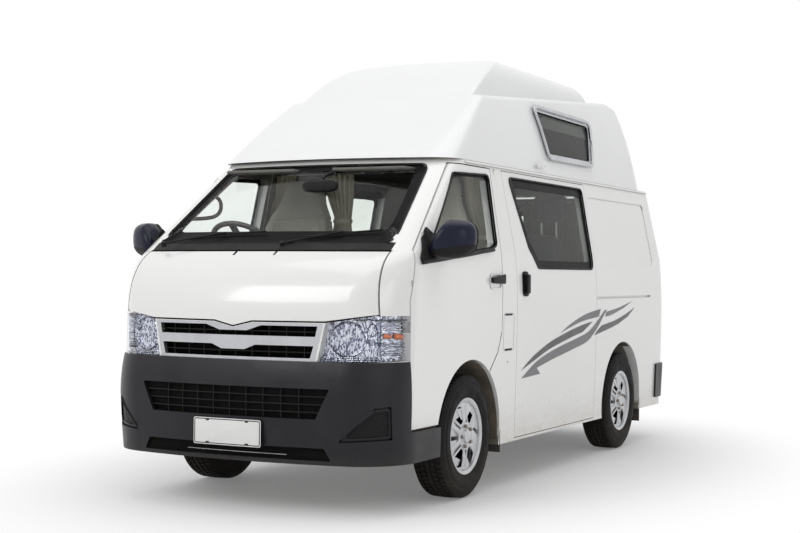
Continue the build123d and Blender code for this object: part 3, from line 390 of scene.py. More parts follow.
def make_road_dirt():
    """Dirt that thins out upwards from the ground, streaked and spotted."""
    tree, start, end = new_group(
        "road_dirt",
        [
            ("Color", "color", white), ("Dirt", "color", white), ("Low", "value", 0.2),
            ("High", "value", 0.6), ("Amount", "value", 0.5),
        ],
        [("Color", "color"), ("Mask", "value")],
    )
    place = own_place(tree)
    split = node(tree, "SeparateXYZ")
    tree.links.new(place, split.inputs[0])
    fade = ramp(tree, split.outputs[2], start.outputs["Low"], start.outputs["High"], 1.0, 0.0)
    stretch = node(tree, "Mapping", {"Scale": (1.6, 1.6, 5.0)})
    tree.links.new(place, stretch.inputs[0])
    streaks = noise(tree, stretch.outputs[0], 3.0, 8.0, 0.65)
    spots = noise(tree, place, 42.0, 3.0, 0.6)
    soil = sum_node(
        tree, "ADD", sum_node(tree, "MULTIPLY", streaks, 0.9),
        sum_node(tree, "MULTIPLY", spots, 0.45),
    )
    patchy = ramp(tree, soil, 0.45, 0.95, 0.15, 1.0)
    mask = sum_node(
        tree, "MULTIPLY", sum_node(tree, "MULTIPLY", fade, patchy), start.outputs["Amount"], True,
    )
    tree.links.new(
        mix_colour(tree, mask, start.outputs["Color"], start.outputs["Dirt"]), end.inputs[0],
    )
    tree.links.new(mask, end.inputs[1])
    return tree


def make_lining():
    """Mask of the faces that look inwards, where the trim panels are."""
    tree, start, end = new_group(
        "lining",
        [("Color", "color", white), ("Trim", "color", white)],
        [("Color", "color"), ("Mask", "value")],
    )
    coordinates = node(tree, "TexCoord")
    shifted = node(tree, "VectorMath", operation="SUBTRACT")
    shifted.inputs[1].default_value = (0.0, 0.0, 1.2)
    tree.links.new(coordinates.outputs["Object"], shifted.inputs[0])
    sideways = node(tree, "VectorMath", operation="MULTIPLY")
    sideways.inputs[1].default_value = (0.0, 1.0, 1.0)
    tree.links.new(shifted.outputs[0], sideways.inputs[0])
    facing = node(tree, "VectorMath", operation="DOT_PRODUCT")
    tree.links.new(sideways.outputs[0], facing.inputs[0])
    tree.links.new(coordinates.outputs["Normal"], facing.inputs[1])
    mask = ramp(tree, facing.outputs["Value"], -0.12, -0.04, 1.0, 0.0)
    tree.links.new(
        mix_colour(tree, mask, start.outputs["Color"], start.outputs["Trim"]), end.inputs[0],
    )
    tree.links.new(mask, end.inputs[1])
    return tree


def make_weave():
    """Woven cloth: crossing threads as height and a light and dark mask."""
    tree, start, end = new_group(
        "weave", [("Scale", "value", 300.0), ("Fuzz", "value", 0.3)],
        [("Height", "value"), ("Mask", "value")],
    )
    place = own_place(tree)
    heights = []
    for axis in ("X", "Z", "Y"):
        wave = node(tree, "TexWave", {"Distortion": 0.6, "Detail": 1.0}, bands_direction=axis)
        tree.links.new(place, wave.inputs["Vector"])
        tree.links.new(start.outputs["Scale"], wave.inputs["Scale"])
        heights.append(wave.outputs["Fac"])
    threads = sum_node(tree, "MULTIPLY", sum_node(tree, "ADD", heights[0], heights[2]), heights[1])
    fuzz = sum_node(tree, "MULTIPLY", noise(tree, place, 900.0), start.outputs["Fuzz"])
    total = sum_node(tree, "ADD", threads, fuzz)
    tree.links.new(total, end.inputs[0])
    tree.links.new(ramp(tree, total, 0.3, 1.5), end.inputs[1])
    return tree


def make_grain():
    """Moulded plastic or leather grain as height."""
    tree, start, end = new_group("grain", [("Scale", "value", 400.0)], [("Height", "value")])
    place = own_place(tree)
    cells = node(tree, "TexVoronoi", feature="SMOOTH_F1")
    tree.links.new(place, cells.inputs["Vector"])
    tree.links.new(start.outputs["Scale"], cells.inputs["Scale"])
    fine = noise(tree, place, sum_node(tree, "MULTIPLY", start.outputs["Scale"], 1.7))
    tree.links.new(sum_node(tree, "ADD", cells.outputs["Distance"], fine), end.inputs[0])
    return tree


mottle = make_mottle()
road_dirt = make_road_dirt()
lining = make_lining()
weave = make_weave()
grain = make_grain()


def use_group(tree, group, values=None, links=None):
    """Group node with its values and links."""
    made = node(tree, "Group")
    made.node_tree = group
    for key, value in (values or {}).items():
        made.inputs[key].default_value = value
    for key, link in (links or {}).items():
        tree.links.new(link, made.inputs[key])
    return made


def rgba(colour):
    """Colour with full alpha."""
    return (*colour, 1.0)


def finish_of(
    name, colour, second=None, patch=4.0, roughness=0.4, spread=0.08, metallic=0.0, dirt=None,
    trim=None, cloth=None, grained=None, bump=0.0, fine=None, **plain,
):
    """Principled material: patches, dirt from the road, inner trim, weave or grain."""
    material, tree, shader = new_material(name)
    shader.inputs["Metallic"].default_value = metallic
    for key, value in plain.items():
        label = "Specular IOR Level" if key == "specular" else key.replace("_", " ").title()
        shader.inputs[label].default_value = value
    second = second or tuple(channel * 0.9 for channel in colour)
    patches = use_group(
        tree, mottle, {"Color": rgba(colour), "Second": rgba(second), "Scale": patch}
    )
    shade = patches.outputs["Color"]
    rough = ramp(tree, patches.outputs["Mask"], 0.0, 1.0, roughness, roughness + spread)
    if cloth:
        threads = use_group(tree, weave, {"Scale": cloth})
        dark = tuple(channel * 0.62 for channel in colour)
        shade = mix_colour(
            tree, sum_node(tree, "MULTIPLY", threads.outputs["Mask"], 0.5), shade, rgba(dark)
        )
        relief = threads.outputs["Height"]
    elif grained:
        relief = use_group(tree, grain, {"Scale": grained}).outputs["Height"]
    else:
        place = own_place(tree)
        relief = noise(tree, place, fine or 60.0, 3.0)
    if trim:
        inner = use_group(tree, lining, {"Trim": rgba(trim)}, {"Color": shade})
        shade = inner.outputs["Color"]
        rough = sum_node(
            tree, "ADD", rough, sum_node(tree, "MULTIPLY", inner.outputs["Mask"], 0.4), True
        )
    if dirt:
        soil, low, high, amount = dirt
        dusty = use_group(
            tree, road_dirt,
            {"Dirt": rgba(soil), "Low": low, "High": high, "Amount": amount}, {"Color": shade},
        )
        shade = dusty.outputs["Color"]
        rough = sum_node(
            tree, "ADD", rough, sum_node(tree, "MULTIPLY", dusty.outputs["Mask"], 0.35), True
        )
    tree.links.new(shade, shader.inputs["Base Color"])
    tree.links.new(rough, shader.inputs["Roughness"])
    add_relief(tree, shader, relief, bump or 0.05, 0.001)
    return material


def glass_of(name, colour, roughness=0.0, ior=1.45):
    """Clear or tinted glass with a trace of dust."""
    material, tree, shader = new_material(name)
    shader.inputs["Transmission Weight"].default_value = 1.0
    shader.inputs["IOR"].default_value = ior
    patches = use_group(
        tree, mottle,
        {"Color": rgba(colour), "Second": rgba(tuple(c * 0.96 for c in colour)), "Scale": 3.0},
    )
    tree.links.new(patches.outputs["Color"], shader.inputs["Base Color"])
    rough = ramp(tree, patches.outputs["Mask"], 0.0, 1.0, roughness, roughness + 0.01)
    tree.links.new(rough, shader.inputs["Roughness"])
    return material


soil = (0.33, 0.27, 0.20)
pale_soil = (0.50, 0.44, 0.35)
trim_grey = (0.13, 0.125, 0.11)
body_paint = finish_of(
    "body_paint", (0.815, 0.815, 0.805), (0.800, 0.800, 0.788), 1.0, 0.22, 0.04, fine=18.0,
    bump=0.012, trim=trim_grey, dirt=(pale_soil, 0.22, 0.50, 0.55), coat_weight=0.6,
    coat_roughness=0.06,
)
roof_gelcoat = finish_of(
    "roof_gelcoat", (0.83, 0.835, 0.84), (0.81, 0.815, 0.82), 0.9, 0.28, 0.06, fine=12.0, bump=0.02,
    trim=trim_grey, coat_weight=0.35, coat_roughness=0.12,
)
bumper_plastic = finish_of(
    "bumper_plastic", (0.009, 0.009, 0.012), (0.014, 0.014, 0.017), 5.0, 0.34, 0.12, grained=900.0,
    bump=0.12, dirt=(soil, 0.16, 0.36, 0.12), specular=0.26,
)
black_trim = finish_of(
    "black_trim", (0.008, 0.008, 0.009), (0.012, 0.012, 0.012), 9.0, 0.45, 0.15, grained=700.0,
    bump=0.15, specular=0.16,
)
gloss_black = finish_of(
    "gloss_black", (0.005, 0.005, 0.006), (0.008, 0.008, 0.009), 6.0, 0.3, 0.08, fine=80.0,
    bump=0.02, specular=0.04,
)
silver_paint = finish_of(
    "silver_paint", (0.50, 0.51, 0.53), (0.44, 0.45, 0.47), 9.0, 0.26, 0.08, 0.85, fine=240.0,
    bump=0.01,
)
clear_glass = glass_of("clear_glass", (0.93, 0.955, 0.94), 0.0, 1.12)
tinted_glass = glass_of("tinted_glass", (0.84, 0.88, 0.84), 0.0, 1.11)
lamp_glass = glass_of("lamp_glass", (0.97, 0.98, 1.0), 0.0, 1.2)
red_lens = glass_of("red_lens", (0.55, 0.02, 0.02), 0.05)
mirror_shell = finish_of(
    "mirror_shell", (0.006, 0.008, 0.022), (0.009, 0.011, 0.028), 7.0, 0.22, 0.05, fine=40.0,
    bump=0.01, specular=0.2,
)
mirror_glass = finish_of(
    "mirror_glass", (0.85, 0.87, 0.88), (0.80, 0.83, 0.85), 4.0, 0.02, 0.03, 1.0, fine=20.0,
    bump=0.005,
)
floor_paint = finish_of(
    "floor_paint", (0.22, 0.21, 0.19), (0.16, 0.15, 0.14), 6.0, 0.6, 0.2,
    dirt=(soil, 0.2, 0.9, 0.5), fine=90.0, bump=0.1,
)
chassis_black = finish_of(
    "chassis_black", (0.035, 0.034, 0.033), (0.07, 0.06, 0.05), 7.0, 0.55, 0.25,
    dirt=(soil, 0.1, 0.9, 0.6), fine=120.0, bump=0.2,
)
cast_iron = finish_of(
    "cast_iron", (0.14, 0.125, 0.11), (0.20, 0.13, 0.08), 14.0, 0.6, 0.2, 0.7,
    dirt=(soil, 0.1, 0.8, 0.4), grained=300.0, bump=0.3,
)
steel = finish_of(
    "steel", (0.32, 0.30, 0.28), (0.24, 0.19, 0.15), 10.0, 0.45, 0.2, 0.9, fine=150.0, bump=0.1,
)
alloy = finish_of(
    "wheel_alloy", (0.58, 0.59, 0.61), (0.52, 0.53, 0.55), 12.0, 0.30, 0.10, 0.6,
    dirt=(soil, 0.0, 0.9, 0.16), fine=500.0, bump=0.03,
)
tyre_rubber = finish_of(
    "tyre_rubber", (0.008, 0.008, 0.009), (0.014, 0.013, 0.013), 16.0, 0.62, 0.16, grained=260.0,
    bump=0.10, dirt=(soil, -0.1, 0.5, 0.10), specular=0.12,
)
dash_plastic = finish_of(
    "dash_plastic", (0.20, 0.185, 0.16), (0.18, 0.165, 0.145), 6.0, 0.55, 0.12, grained=600.0,
    bump=0.3,
)
grip_plastic = finish_of(
    "grip_plastic", (0.04, 0.04, 0.042), (0.055, 0.053, 0.05), 20.0, 0.5, 0.1, grained=800.0,
    bump=0.2,
)
seat_fabric = finish_of(
    "seat_fabric", (0.42, 0.395, 0.345), (0.37, 0.348, 0.305), 7.0, 0.85, 0.1, cloth=180.0,
    bump=0.35, sheen_weight=0.3,
)
bench_fabric = finish_of(
    "bench_fabric", (0.014, 0.014, 0.016), (0.02, 0.02, 0.022), 7.0, 0.85, 0.1, cloth=140.0,
    bump=0.3, sheen_weight=0.25,
)
cabinet_board = finish_of(
    "cabinet_board", (0.40, 0.33, 0.25), (0.35, 0.28, 0.21), 5.0, 0.45, 0.12, fine=200.0, bump=0.05,
)
curtain_cloth = finish_of(
    "curtain_cloth", (0.80, 0.75, 0.60), (0.74, 0.69, 0.55), 6.0, 0.9, 0.08, cloth=420.0, bump=0.4,
    sheen_weight=0.2,
)
flap_rubber = finish_of(
    "flap_rubber", (0.014, 0.014, 0.014), (0.03, 0.028, 0.026), 12.0, 0.6, 0.2,
    dirt=(soil, 0.1, 0.6, 0.25), fine=160.0, bump=0.2,
)

node_finishes = {
    "body_side_left": body_paint, "body_side_right": body_paint, "roof_frame": body_paint,
    "nose_panel": body_paint, "bonnet": body_paint, "front_door_left": body_paint,
    "front_door_right": body_paint, "sliding_door": body_paint, "tailgate": body_paint,
    "high_roof": roof_gelcoat, "headlamps": lamp_glass, "tail_lamps": red_lens,
    "windscreen": clear_glass, "door_glass_left": clear_glass, "door_glass_right": clear_glass,
    "side_glass": tinted_glass, "tailgate_glass": tinted_glass, "front_bumper": bumper_plastic,
    "rear_bumper": bumper_plastic, "grille_frame": silver_paint, "grille_slats": black_trim,
    "cowl": black_trim, "floor": floor_paint, "chassis_rails": chassis_black, "engine": cast_iron,
    "front_suspension": chassis_black, "knuckle_left": cast_iron, "knuckle_right": cast_iron,
    "rear_axle": chassis_black, "exhaust": steel, "fuel_tank": chassis_black,
    "spare_wheel": tyre_rubber, "mud_flaps": flap_rubber, "dashboard": dash_plastic,
    "steering_wheel": grip_plastic, "front_seats": seat_fabric, "camper_bench": bench_fabric,
    "camper_cabinet": cabinet_board, "curtains": curtain_cloth, "door_mirror_left": mirror_shell,
    "door_mirror_right": mirror_shell,
}
for corner in ("front_left", "front_right", "rear_left", "rear_right"):
    node_finishes["rim_" + corner] = alloy
    node_finishes["tyre_" + corner] = tyre_rubber
for name, material in node_finishes.items():
    part = nodes[name]
    part.data.materials.clear()
    part.data.materials.append(material)


def hand_over(piece, material, body):
    """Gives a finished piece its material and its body."""
    piece.data.materials.clear()
    piece.data.materials.append(material)
    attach(piece, body)
    return piece


# Outlines in a plane, as pairs of numbers, and how they are placed

def inset(outline, amounts):
    """Closed outline with each side moved inwards by its own amount."""
    count = len(outline)
    if isinstance(amounts, (int, float)):
        amounts = [amounts] * count
    area = sum(
        outline[i - 1][0] * outline[i][1] - outline[i][0] * outline[i - 1][1] for i in range(count)
    )
    sense = 1.0 if area > 0 else -1.0
    lines = []
    for i in range(count):
        a, b = Vector(outline[i]), Vector(outline[(i + 1) % count])
        along = (b - a).normalized()
        inward = Vector((-along.y, along.x)) * sense
        lines.append((a + inward * amounts[i], along))
    found = []
    for i in range(count):
        (p, u), (q, v) = lines[i - 1], lines[i]
        cross = u.x * v.y - u.y * v.x
        if abs(cross) < 1e-6:
            found.append(tuple(q))
            continue
        t = ((q - p).x * v.y - (q - p).y * v.x) / cross
        found.append(tuple(p + u * t))
    return found


def rounded(outline, radius, steps=6):
    """Outline with an arc at each corner; radius is one number or one for each corner."""
    count = len(outline)
    radii = [radius] * count if isinstance(radius, (int, float)) else radius
    found = []
    for i in range(count):
        corner = Vector(outline[i])
        before = Vector(outline[i - 1]) - corner
        after = Vector(outline[(i + 1) % count]) - corner
        half = before.angle(after) / 2
        reach = min(
            radii[i] / max(0.05, abs(sin(half) / cos(half))), before.length * 0.45,
            after.length * 0.45,
        )
        start = corner + before.normalized() * reach
        end = corner + after.normalized() * reach
        for step in range(steps + 1):
            t = step / steps
            found.append(tuple(start * (1 - t) ** 2 + corner * 2 * t * (1 - t) + end * t**2))
    return found


def paired(outer, inner, longest):
    """Two outlines with as many points, cut so that no side is longer than the limit."""
    pair = ([], [])
    for i in range(len(outer)):
        j = (i + 1) % len(outer)
        parts = max(1, round((Vector(outer[j]) - Vector(outer[i])).length / longest))
        for outline, found in zip((outer, inner), pair):
            a, b = Vector(outline[i]), Vector(outline[j])
            found += [tuple(a.lerp(b, part / parts)) for part in range(parts)]
    return pair


def side_place(outline, y):
    """Points of a side outline, X and Z, in a plane of one Y."""
    return [(x, y, z) for x, z in outline]


def front_place(outline, x):
    """Points of a front outline, Y and Z, in a plane of one X."""
    return [(x, y, z) for y, z in outline]


def beside_at(side):
    """Places a side outline outside one flank."""
    return lambda outline: side_place(outline, beside_plane * side)


def across_at(x):
    """Places a front or rear outline in a plane across the van."""
    return lambda outline: front_place(outline, x)


def corners_of(first, last, low, high):
    """Rectangle between two places along the van or across it and between two heights."""
    return [(first, low), (first, high), (last, high), (last, low)]


def oblong(half, low, high, middle=0.0):
    """Rectangle about a middle line, between two heights."""
    return corners_of(middle + half, middle - half, low, high)


def window_ring(
    name, outline, amounts, radii, place, target, direction, offset, thickness, edge=0.0
):
    """Border, seal or frame between two insets of a window's outline."""
    outer, inner = (
        rounded(inset(outline, amount), radius) for amount, radius in zip(amounts, radii)
    )
    return trim_band(name, outer, inner, place, nodes[target], direction, offset, thickness, edge)


def project(piece, target, direction, offset):
    """Drops a piece onto a surface along one signed axis; what misses it follows its neighbour."""
    axis = direction[1]
    index = "XYZ".index(axis)
    before = [vertex.co[index] for vertex in piece.data.vertices]
    modify(
        piece, "SHRINKWRAP", target=target, wrap_method="PROJECT", wrap_mode="ABOVE_SURFACE",
        use_project_x=axis == "X", use_project_y=axis == "Y", use_project_z=axis == "Z",
        use_negative_direction=direction[0] == "-", use_positive_direction=direction[0] == "+",
        offset=offset,
    )
    others = [i for i in range(3) if i != index]
    landed, missed = [], []
    for vertex, level in zip(piece.data.vertices, before):
        (missed if abs(vertex.co[index] - level) < 1e-6 else landed).append(vertex)
    for vertex in missed:
        nearest = min(
            landed,
            key=lambda other: (other.co[others[0]] - vertex.co[others[0]]) ** 2
            + (other.co[others[1]] - vertex.co[others[1]]) ** 2,
        )
        vertex.co[index] = nearest.co[index]


def struck(name, start, direction):
    """Whether, where and at which normal a ray meets a solid."""
    return nodes[name].ray_cast(Vector(start), Vector(direction))[:3]


def laid(piece, target, direction, offset, thickness, edge):
    """Lays a sheet on a surface, gives it a thickness and rounds its edges."""
    project(piece, target, direction, offset)
    recalculate_sheet(piece, direction)
    thicken(piece, thickness)
    if edge:
        modify(
            piece, "BEVEL", width=edge, segments=2, limit_method="ANGLE", angle_limit=radians(50)
        )
    smooth(piece)
    return piece


def trim_band(
    name, outer, inner, place, target, direction, offset, thickness, edge=0.0, longest=0.05,
):
    """Band between two outlines, laid on a surface and given a thickness."""
    long_outer, long_inner = paired(outer, inner, longest)
    piece = band(name, place(long_outer), place(long_inner))
    return laid(piece, target, direction, offset, thickness, edge)


def recalculate_sheet(piece, direction):
    """Turns an open sheet's faces against the direction that it was laid in."""
    edit(piece)
    bpy.ops.mesh.normals_make_consistent(inside=False)
    leave()
    axis = "XYZ".index(direction[1])
    sign = -1.0 if direction[0] == "+" else 1.0
    total = sum(face.normal[axis] * face.area for face in piece.data.polygons) * sign
    if total < 0:
        edit(piece)
        bpy.ops.mesh.flip_normals()
        leave()


def patch(name, outline, place, target, direction, offset, thickness, cell=0.03, edge=0.0):
    """Filled outline, cut in a grid, laid on a surface and given a thickness."""
    piece = flat_outline(name, place(outline))
    low = [min(v.co[i] for v in piece.data.vertices) for i in range(3)]
    high = [max(v.co[i] for v in piece.data.vertices) for i in range(3)]
    for axis in range(3):
        normal = [0.0, 0.0, 0.0]
        normal[axis] = 1.0
        count = int((high[axis] - low[axis]) / cell)
        for step in range(1, count + 1):
            at = [0.0, 0.0, 0.0]
            at[axis] = low[axis] + (high[axis] - low[axis]) * step / (count + 1)
            edit(piece)
            bpy.ops.mesh.bisect(plane_co=at, plane_no=normal)
            leave()
    return laid(piece, target, direction, offset, thickness, edge)


screen_outline = [(0.7072, 1.3420), (-0.7072, 1.3420), (-0.6225, 1.7779), (0.6225, 1.7779)]
door_window = [
    (1.3449, 1.7370), (0.8850, 1.7521), (0.9151, 1.3500), (1.0000, 1.3250), (1.8700, 1.2499),
]
side_window = [
    (0.6120, 1.7570), (0.4500, 1.3450), (0.3289, 1.2260), (-0.6399, 1.2260), (-0.6399, 1.7570),
]
roof_window = [(-0.0371, 2.2241), (-1.0369, 2.2150), (-0.8881, 1.9340), (-0.1061, 1.9290)]
tail_window = [(0.5887, 1.2076), (0.5251, 1.6889), (-0.5251, 1.6889), (-0.5887, 1.2076)]

# Wheels: treaded tyres and broad six-spoke rims

def lathe(name, profile, centre, steps):
    """Ring of revolution about the wheel's axis, from radius and offset pairs."""
    piece = ring_of(
        name, [(centre.x, centre.y + offset, centre.z + radius) for radius, offset in profile]
    )
    edit(piece)
    bpy.ops.mesh.spin(steps=steps, angle=2 * pi, center=centre, axis=(0, 1, 0))
    leave()
    recalculate(piece)
    return piece


wheel_centre = Vector((front_axle_x, wheel_y, wheel_z))
tread_steps = 198
half_tread = 0.070
tread_profile = [
    (0.1905, -0.078), (0.2000, -0.0865), (0.2090, -0.0880), (0.2150, -0.0912), (0.2185, -0.0905),
    (0.2300, -0.0950), (0.2550, -0.0972), (0.2700, -0.0969), (0.2720, -0.0955), (0.2900, -0.0930),
    (0.2920, -0.0940), (0.3080, -0.0880), (0.3150, -0.0840), (0.3235, -0.0780),
    (0.3275, -half_tread),
    (0.3280, -0.0520), (0.3200, -0.0505), (0.3200, -0.0445), (0.3288, -0.0430), (0.3296, -0.0190),
    (0.3212, -0.0175), (0.3212, -0.0115), (0.3299, -0.0100),
]
tread_profile = tread_profile + [(radius, -offset) for radius, offset in reversed(tread_profile)]
tread_profile += [(0.1905, 0.040), (0.1905, -0.040)]
tyre_model = lathe("tyre_model", tread_profile, wheel_centre, tread_steps)


def slot_here(centre, inner, outer, phase):
    """True on every third tread face of one row, for a cross slot."""
    reach = centre - wheel_centre
    radius = sqrt(reach.x**2 + reach.z**2)
    if not inner < abs(reach.y) < outer or radius < 0.3225:
        return False
    step = round(atan2(reach.x, reach.z) / (2 * pi) * tread_steps - 0.5)
    return (step + phase) % 3 == 0


for inner, outer, phase in ((0.0505, 0.090, 0), (0.0180, 0.0440, 1)):
    choose_faces(tyre_model, lambda c, n: slot_here(c, inner, outer, phase))
    bpy.ops.mesh.extrude_region_shrink_fatten(TRANSFORM_OT_shrink_fatten={"value": -0.006})
    leave()
smooth(tyre_model, 40)


def star(count, hub, root, tip, reach):
    """Outline of a hub with spokes, as offsets in the wheel's plane."""
    found = []
    for spoke in range(count):
        angle = 2 * pi * spoke / count
        out = Vector((sin(angle), cos(angle)))
        side = Vector((cos(angle), -sin(angle)))
        found += [
            out * hub - side * root, out * reach - side * tip, out * reach + side * tip,
            out * hub + side * root,
        ]
    return [tuple(point) for point in found]


spoke_outline = rounded(
    star(6, 0.078, 0.0265, 0.0330, 0.186), [0.030, 0.004, 0.004, 0.030] * 6, 4
)
rim_face_y = wheel_y + 0.079
spoke_points = [(wheel_centre.x + a, rim_face_y, wheel_z + b) for a, b in spoke_outline]
spokes = plate("rim_spokes", spoke_points, (0, -0.026, 0))
choose_faces(spokes, lambda c, n: n.y > 0.9)
bpy.ops.mesh.inset(thickness=0.006, depth=0.0045)
bpy.ops.mesh.inset(thickness=0.004, depth=0.001)
bpy.ops.mesh.inset(thickness=0.007, depth=-0.0022)
leave()
smooth(spokes, 25)
for vertex in spokes.data.vertices:
    away = sqrt((vertex.co.x - wheel_centre.x) ** 2 + (vertex.co.z - wheel_z) ** 2)
    vertex.co.y -= 0.013 * max(0.0, (away - 0.075) / 0.11) ** 1.6
barrel = lathe(
    "rim_barrel",
    [
        (0.1795, -0.086), (0.2000, -0.086), (0.2058, -0.084), (0.2058, -0.0795), (0.1900, -0.078),
        (0.1890, 0.070), (0.1900, 0.0785), (0.2050, 0.0800), (0.2062, 0.0840), (0.2030, 0.0875),
        (0.1960, 0.0870), (0.1900, 0.0820), (0.1850, 0.0800), (0.1835, 0.0700), (0.1790, 0.0500),
        (0.1700, 0.0), (0.1790, -0.070),
    ],
    wheel_centre, 72,
)
smooth(barrel, 40)
hub = lathe(
    "rim_hub",
    [
        (0.0001, 0.0965), (0.030, 0.0960), (0.0345, 0.0945), (0.0365, 0.0900), (0.0380, 0.0850),
        (0.0400, 0.0835), (0.0740, 0.0830), (0.0760, 0.0800), (0.0760, 0.030), (0.0001, 0.030),
    ],
    wheel_centre, 48,
)
smooth(hub, 35)
nuts = []
for index in range(5):
    angle = 2 * pi * index / 5 + 0.3
    clear_selection()
    bpy.ops.mesh.primitive_cylinder_add(
        vertices=6, radius=0.0105, depth=0.016,
        location=(
            wheel_centre.x + 0.056 * sin(angle), wheel_y + 0.0895, wheel_z + 0.056 * cos(angle),
        ),
        rotation=(pi / 2, 0, 0),
    )
    nut = take("nut")
    edit(nut)
    bpy.ops.mesh.bevel(offset=0.0018, segments=2, affect="EDGES")
    leave()
    nuts.append(nut)
nut_set = fuse("rim_nuts", *nuts)
smooth(nut_set, 40)
rim_model = fuse("rim_model", spokes, barrel, hub)

half_turn = {
    1: Matrix.Identity(4),
    -1: Matrix.Translation((0, -2 * wheel_y, 0)) @ turned(wheel_centre, pi),
}
for corner, axle_x, side in (
    ("front_left", front_axle_x, 1), ("front_right", front_axle_x, -1),
    ("rear_left", rear_axle_x, 1), ("rear_right", rear_axle_x, -1),
):
    move = Matrix.Translation((axle_x - front_axle_x, 0, 0)) @ half_turn[side]
    body = "wheel_" + corner
    tyre = hand_over(
        copied(tyre_model, "treaded_tyre_" + corner, move), tyre_rubber, body,
    )
    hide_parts("tyre_" + corner)
    rim = hand_over(copied(rim_model, "alloy_rim_" + corner, move), alloy, body)
    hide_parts("rim_" + corner)
    hand_over(copied(nut_set, "wheel_nuts_" + corner, move), steel, body)
for model in (tyre_model, rim_model, nut_set):
    bpy.data.objects.remove(model)

# Windows: printed black borders, rubber seals and frames

dark_blind = finish_of(
    "dark_blind", (0.030, 0.030, 0.031), (0.045, 0.045, 0.045), 2.2, 0.6, 0.1, cloth=300.0,
    bump=0.3, specular=0.1,
)

seal_lift, seal_depth, seal_edge = 0.0055, 0.0075, 0.002
screen_border = window_ring(
    "windscreen_border", screen_outline, (0.001, [0.062, 0.050, 0.034, 0.050]), (0.054, 0.045),
    across_at(screen_plane), "windscreen", "-X", film, film,
)
hand_over(screen_border, gloss_black, "van_body")
screen_seal = window_ring(
    "windscreen_seal", screen_outline, (-0.007, 0.003), (0.060, 0.052),
    across_at(screen_plane), "windscreen", "-X", 0.0050, 0.0065, seal_edge,
)
hand_over(screen_seal, black_trim, "van_body")


def side_set(name, outline, radius, glass, body, inner_amounts, seal=True):
    """Borders and seals of a side window and its twin."""
    for side, word, direction in sides:
        border = window_ring(
            f"{name}_border_{word}", outline, (0.001, inner_amounts), (radius, radius * 0.8),
            beside_at(side), glass[side], direction, film, film,
        )
        hand_over(border, gloss_black, body[side])
        if seal:
            rubber = window_ring(
                f"{name}_seal_{word}", outline, (-0.0015, 0.010), (radius + 0.001, radius * 0.9),
                beside_at(side), glass[side], direction, seal_lift, seal_depth, seal_edge,
            )
            hand_over(rubber, black_trim, body[side])


side_set(
    "door_window", door_window, 0.040, {1: "door_glass_left", -1: "door_glass_right"},
    {1: "door_left", -1: "door_right"}, [0.022, 0.030, 0.018, 0.018, 0.020],
)
side_set(
    "side_window", side_window, 0.045, {1: "side_glass", -1: "side_glass"},
    {1: "van_body", -1: "van_body"}, [0.055, 0.060, 0.050, 0.052, 0.058],
)
side_set(
    "roof_window", roof_window, 0.040, {1: "side_glass", -1: "side_glass"},
    {1: "van_body", -1: "van_body"}, [0.022, 0.026, 0.022, 0.022], seal=False,
)
for side, word, direction in sides:
    frame_ring = window_ring(
        f"roof_window_frame_{word}", roof_window, (-0.024, -0.0005), (0.060, 0.040),
        beside_at(side), "high_roof", direction, 0.012, 0.0135, 0.004,
    )
    hand_over(frame_ring, silver_paint, "van_body")
    sash = window_ring(
        f"roof_window_sash_{word}", roof_window, (0.001, 0.016), (0.038, 0.028),
        beside_at(side), "side_glass", direction, 0.006, 0.006, 0.002,
    )
    hand_over(sash, silver_paint, "van_body")

for side, word, direction in sides:
    blind = patch(
        f"roof_window_blind_{word}", rounded(inset(roof_window, 0.004), 0.036),
        beside_at(side), nodes["side_glass"], direction, -0.009, 0.002, 0.2,
    )
    hand_over(blind, dark_blind, "van_body")

tail_border = window_ring(
    "tail_window_border", tail_window, (0.001, 0.038), (0.045, 0.038),
    across_at(tail_plane), "tailgate_glass", "+X", film, film,
)
hand_over(tail_border, gloss_black, "tail_door")
tail_seal = window_ring(
    "tail_window_seal", tail_window, (-0.0015, 0.009), (0.046, 0.040),
    across_at(tail_plane), "tailgate_glass", "+X", seal_lift, seal_depth, seal_edge,
)
hand_over(tail_seal, black_trim, "tail_door")

# Headlamps: clear lens, chrome bowls, indicator section and bulbs

corner_place = Vector((1.958, 0.550))
corner_reach = 0.295


def outward(point):
    """Direction away from the van's front corner, level."""
    away = Vector((point.x - corner_place.x, abs(point.y) - corner_place.y))
    if point.x > corner_place.x + 0.25 and abs(point.y) < corner_place.y + 0.05:
        away = Vector((1.0, max(0.0, abs(point.y) - 0.35) * 0.6))
    away.normalize()
    return away


def faces_out(centre, normal, least=0.6):
    """True where a face looks out of the van's front corner."""
    away = outward(centre)
    side = 1.0 if centre.y > 0 else -1.0
    return normal.x * away.x + normal.y * side * away.y > least


lens_shell = copied(nodes["headlamps"], "headlamp_lens")
recalculate(lens_shell)
choose_faces(lens_shell, lambda c, n: not faces_out(c, n))
bpy.ops.mesh.delete(type="FACE")
leave()
reflector_back = copied(lens_shell, "headlamp_back")
thicken(lens_shell, 0.0028, -1.0)
smooth(lens_shell, 30)
hand_over(lens_shell, lamp_glass, "van_body")
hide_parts("headlamps")
for vertex in reflector_back.data.vertices:
    away = outward(vertex.co)
    vertex.co.x -= away.x * 0.046
    vertex.co.y -= away.y * 0.046 * (1 if vertex.co.y > 0 else -1)
smooth(reflector_back, 40)

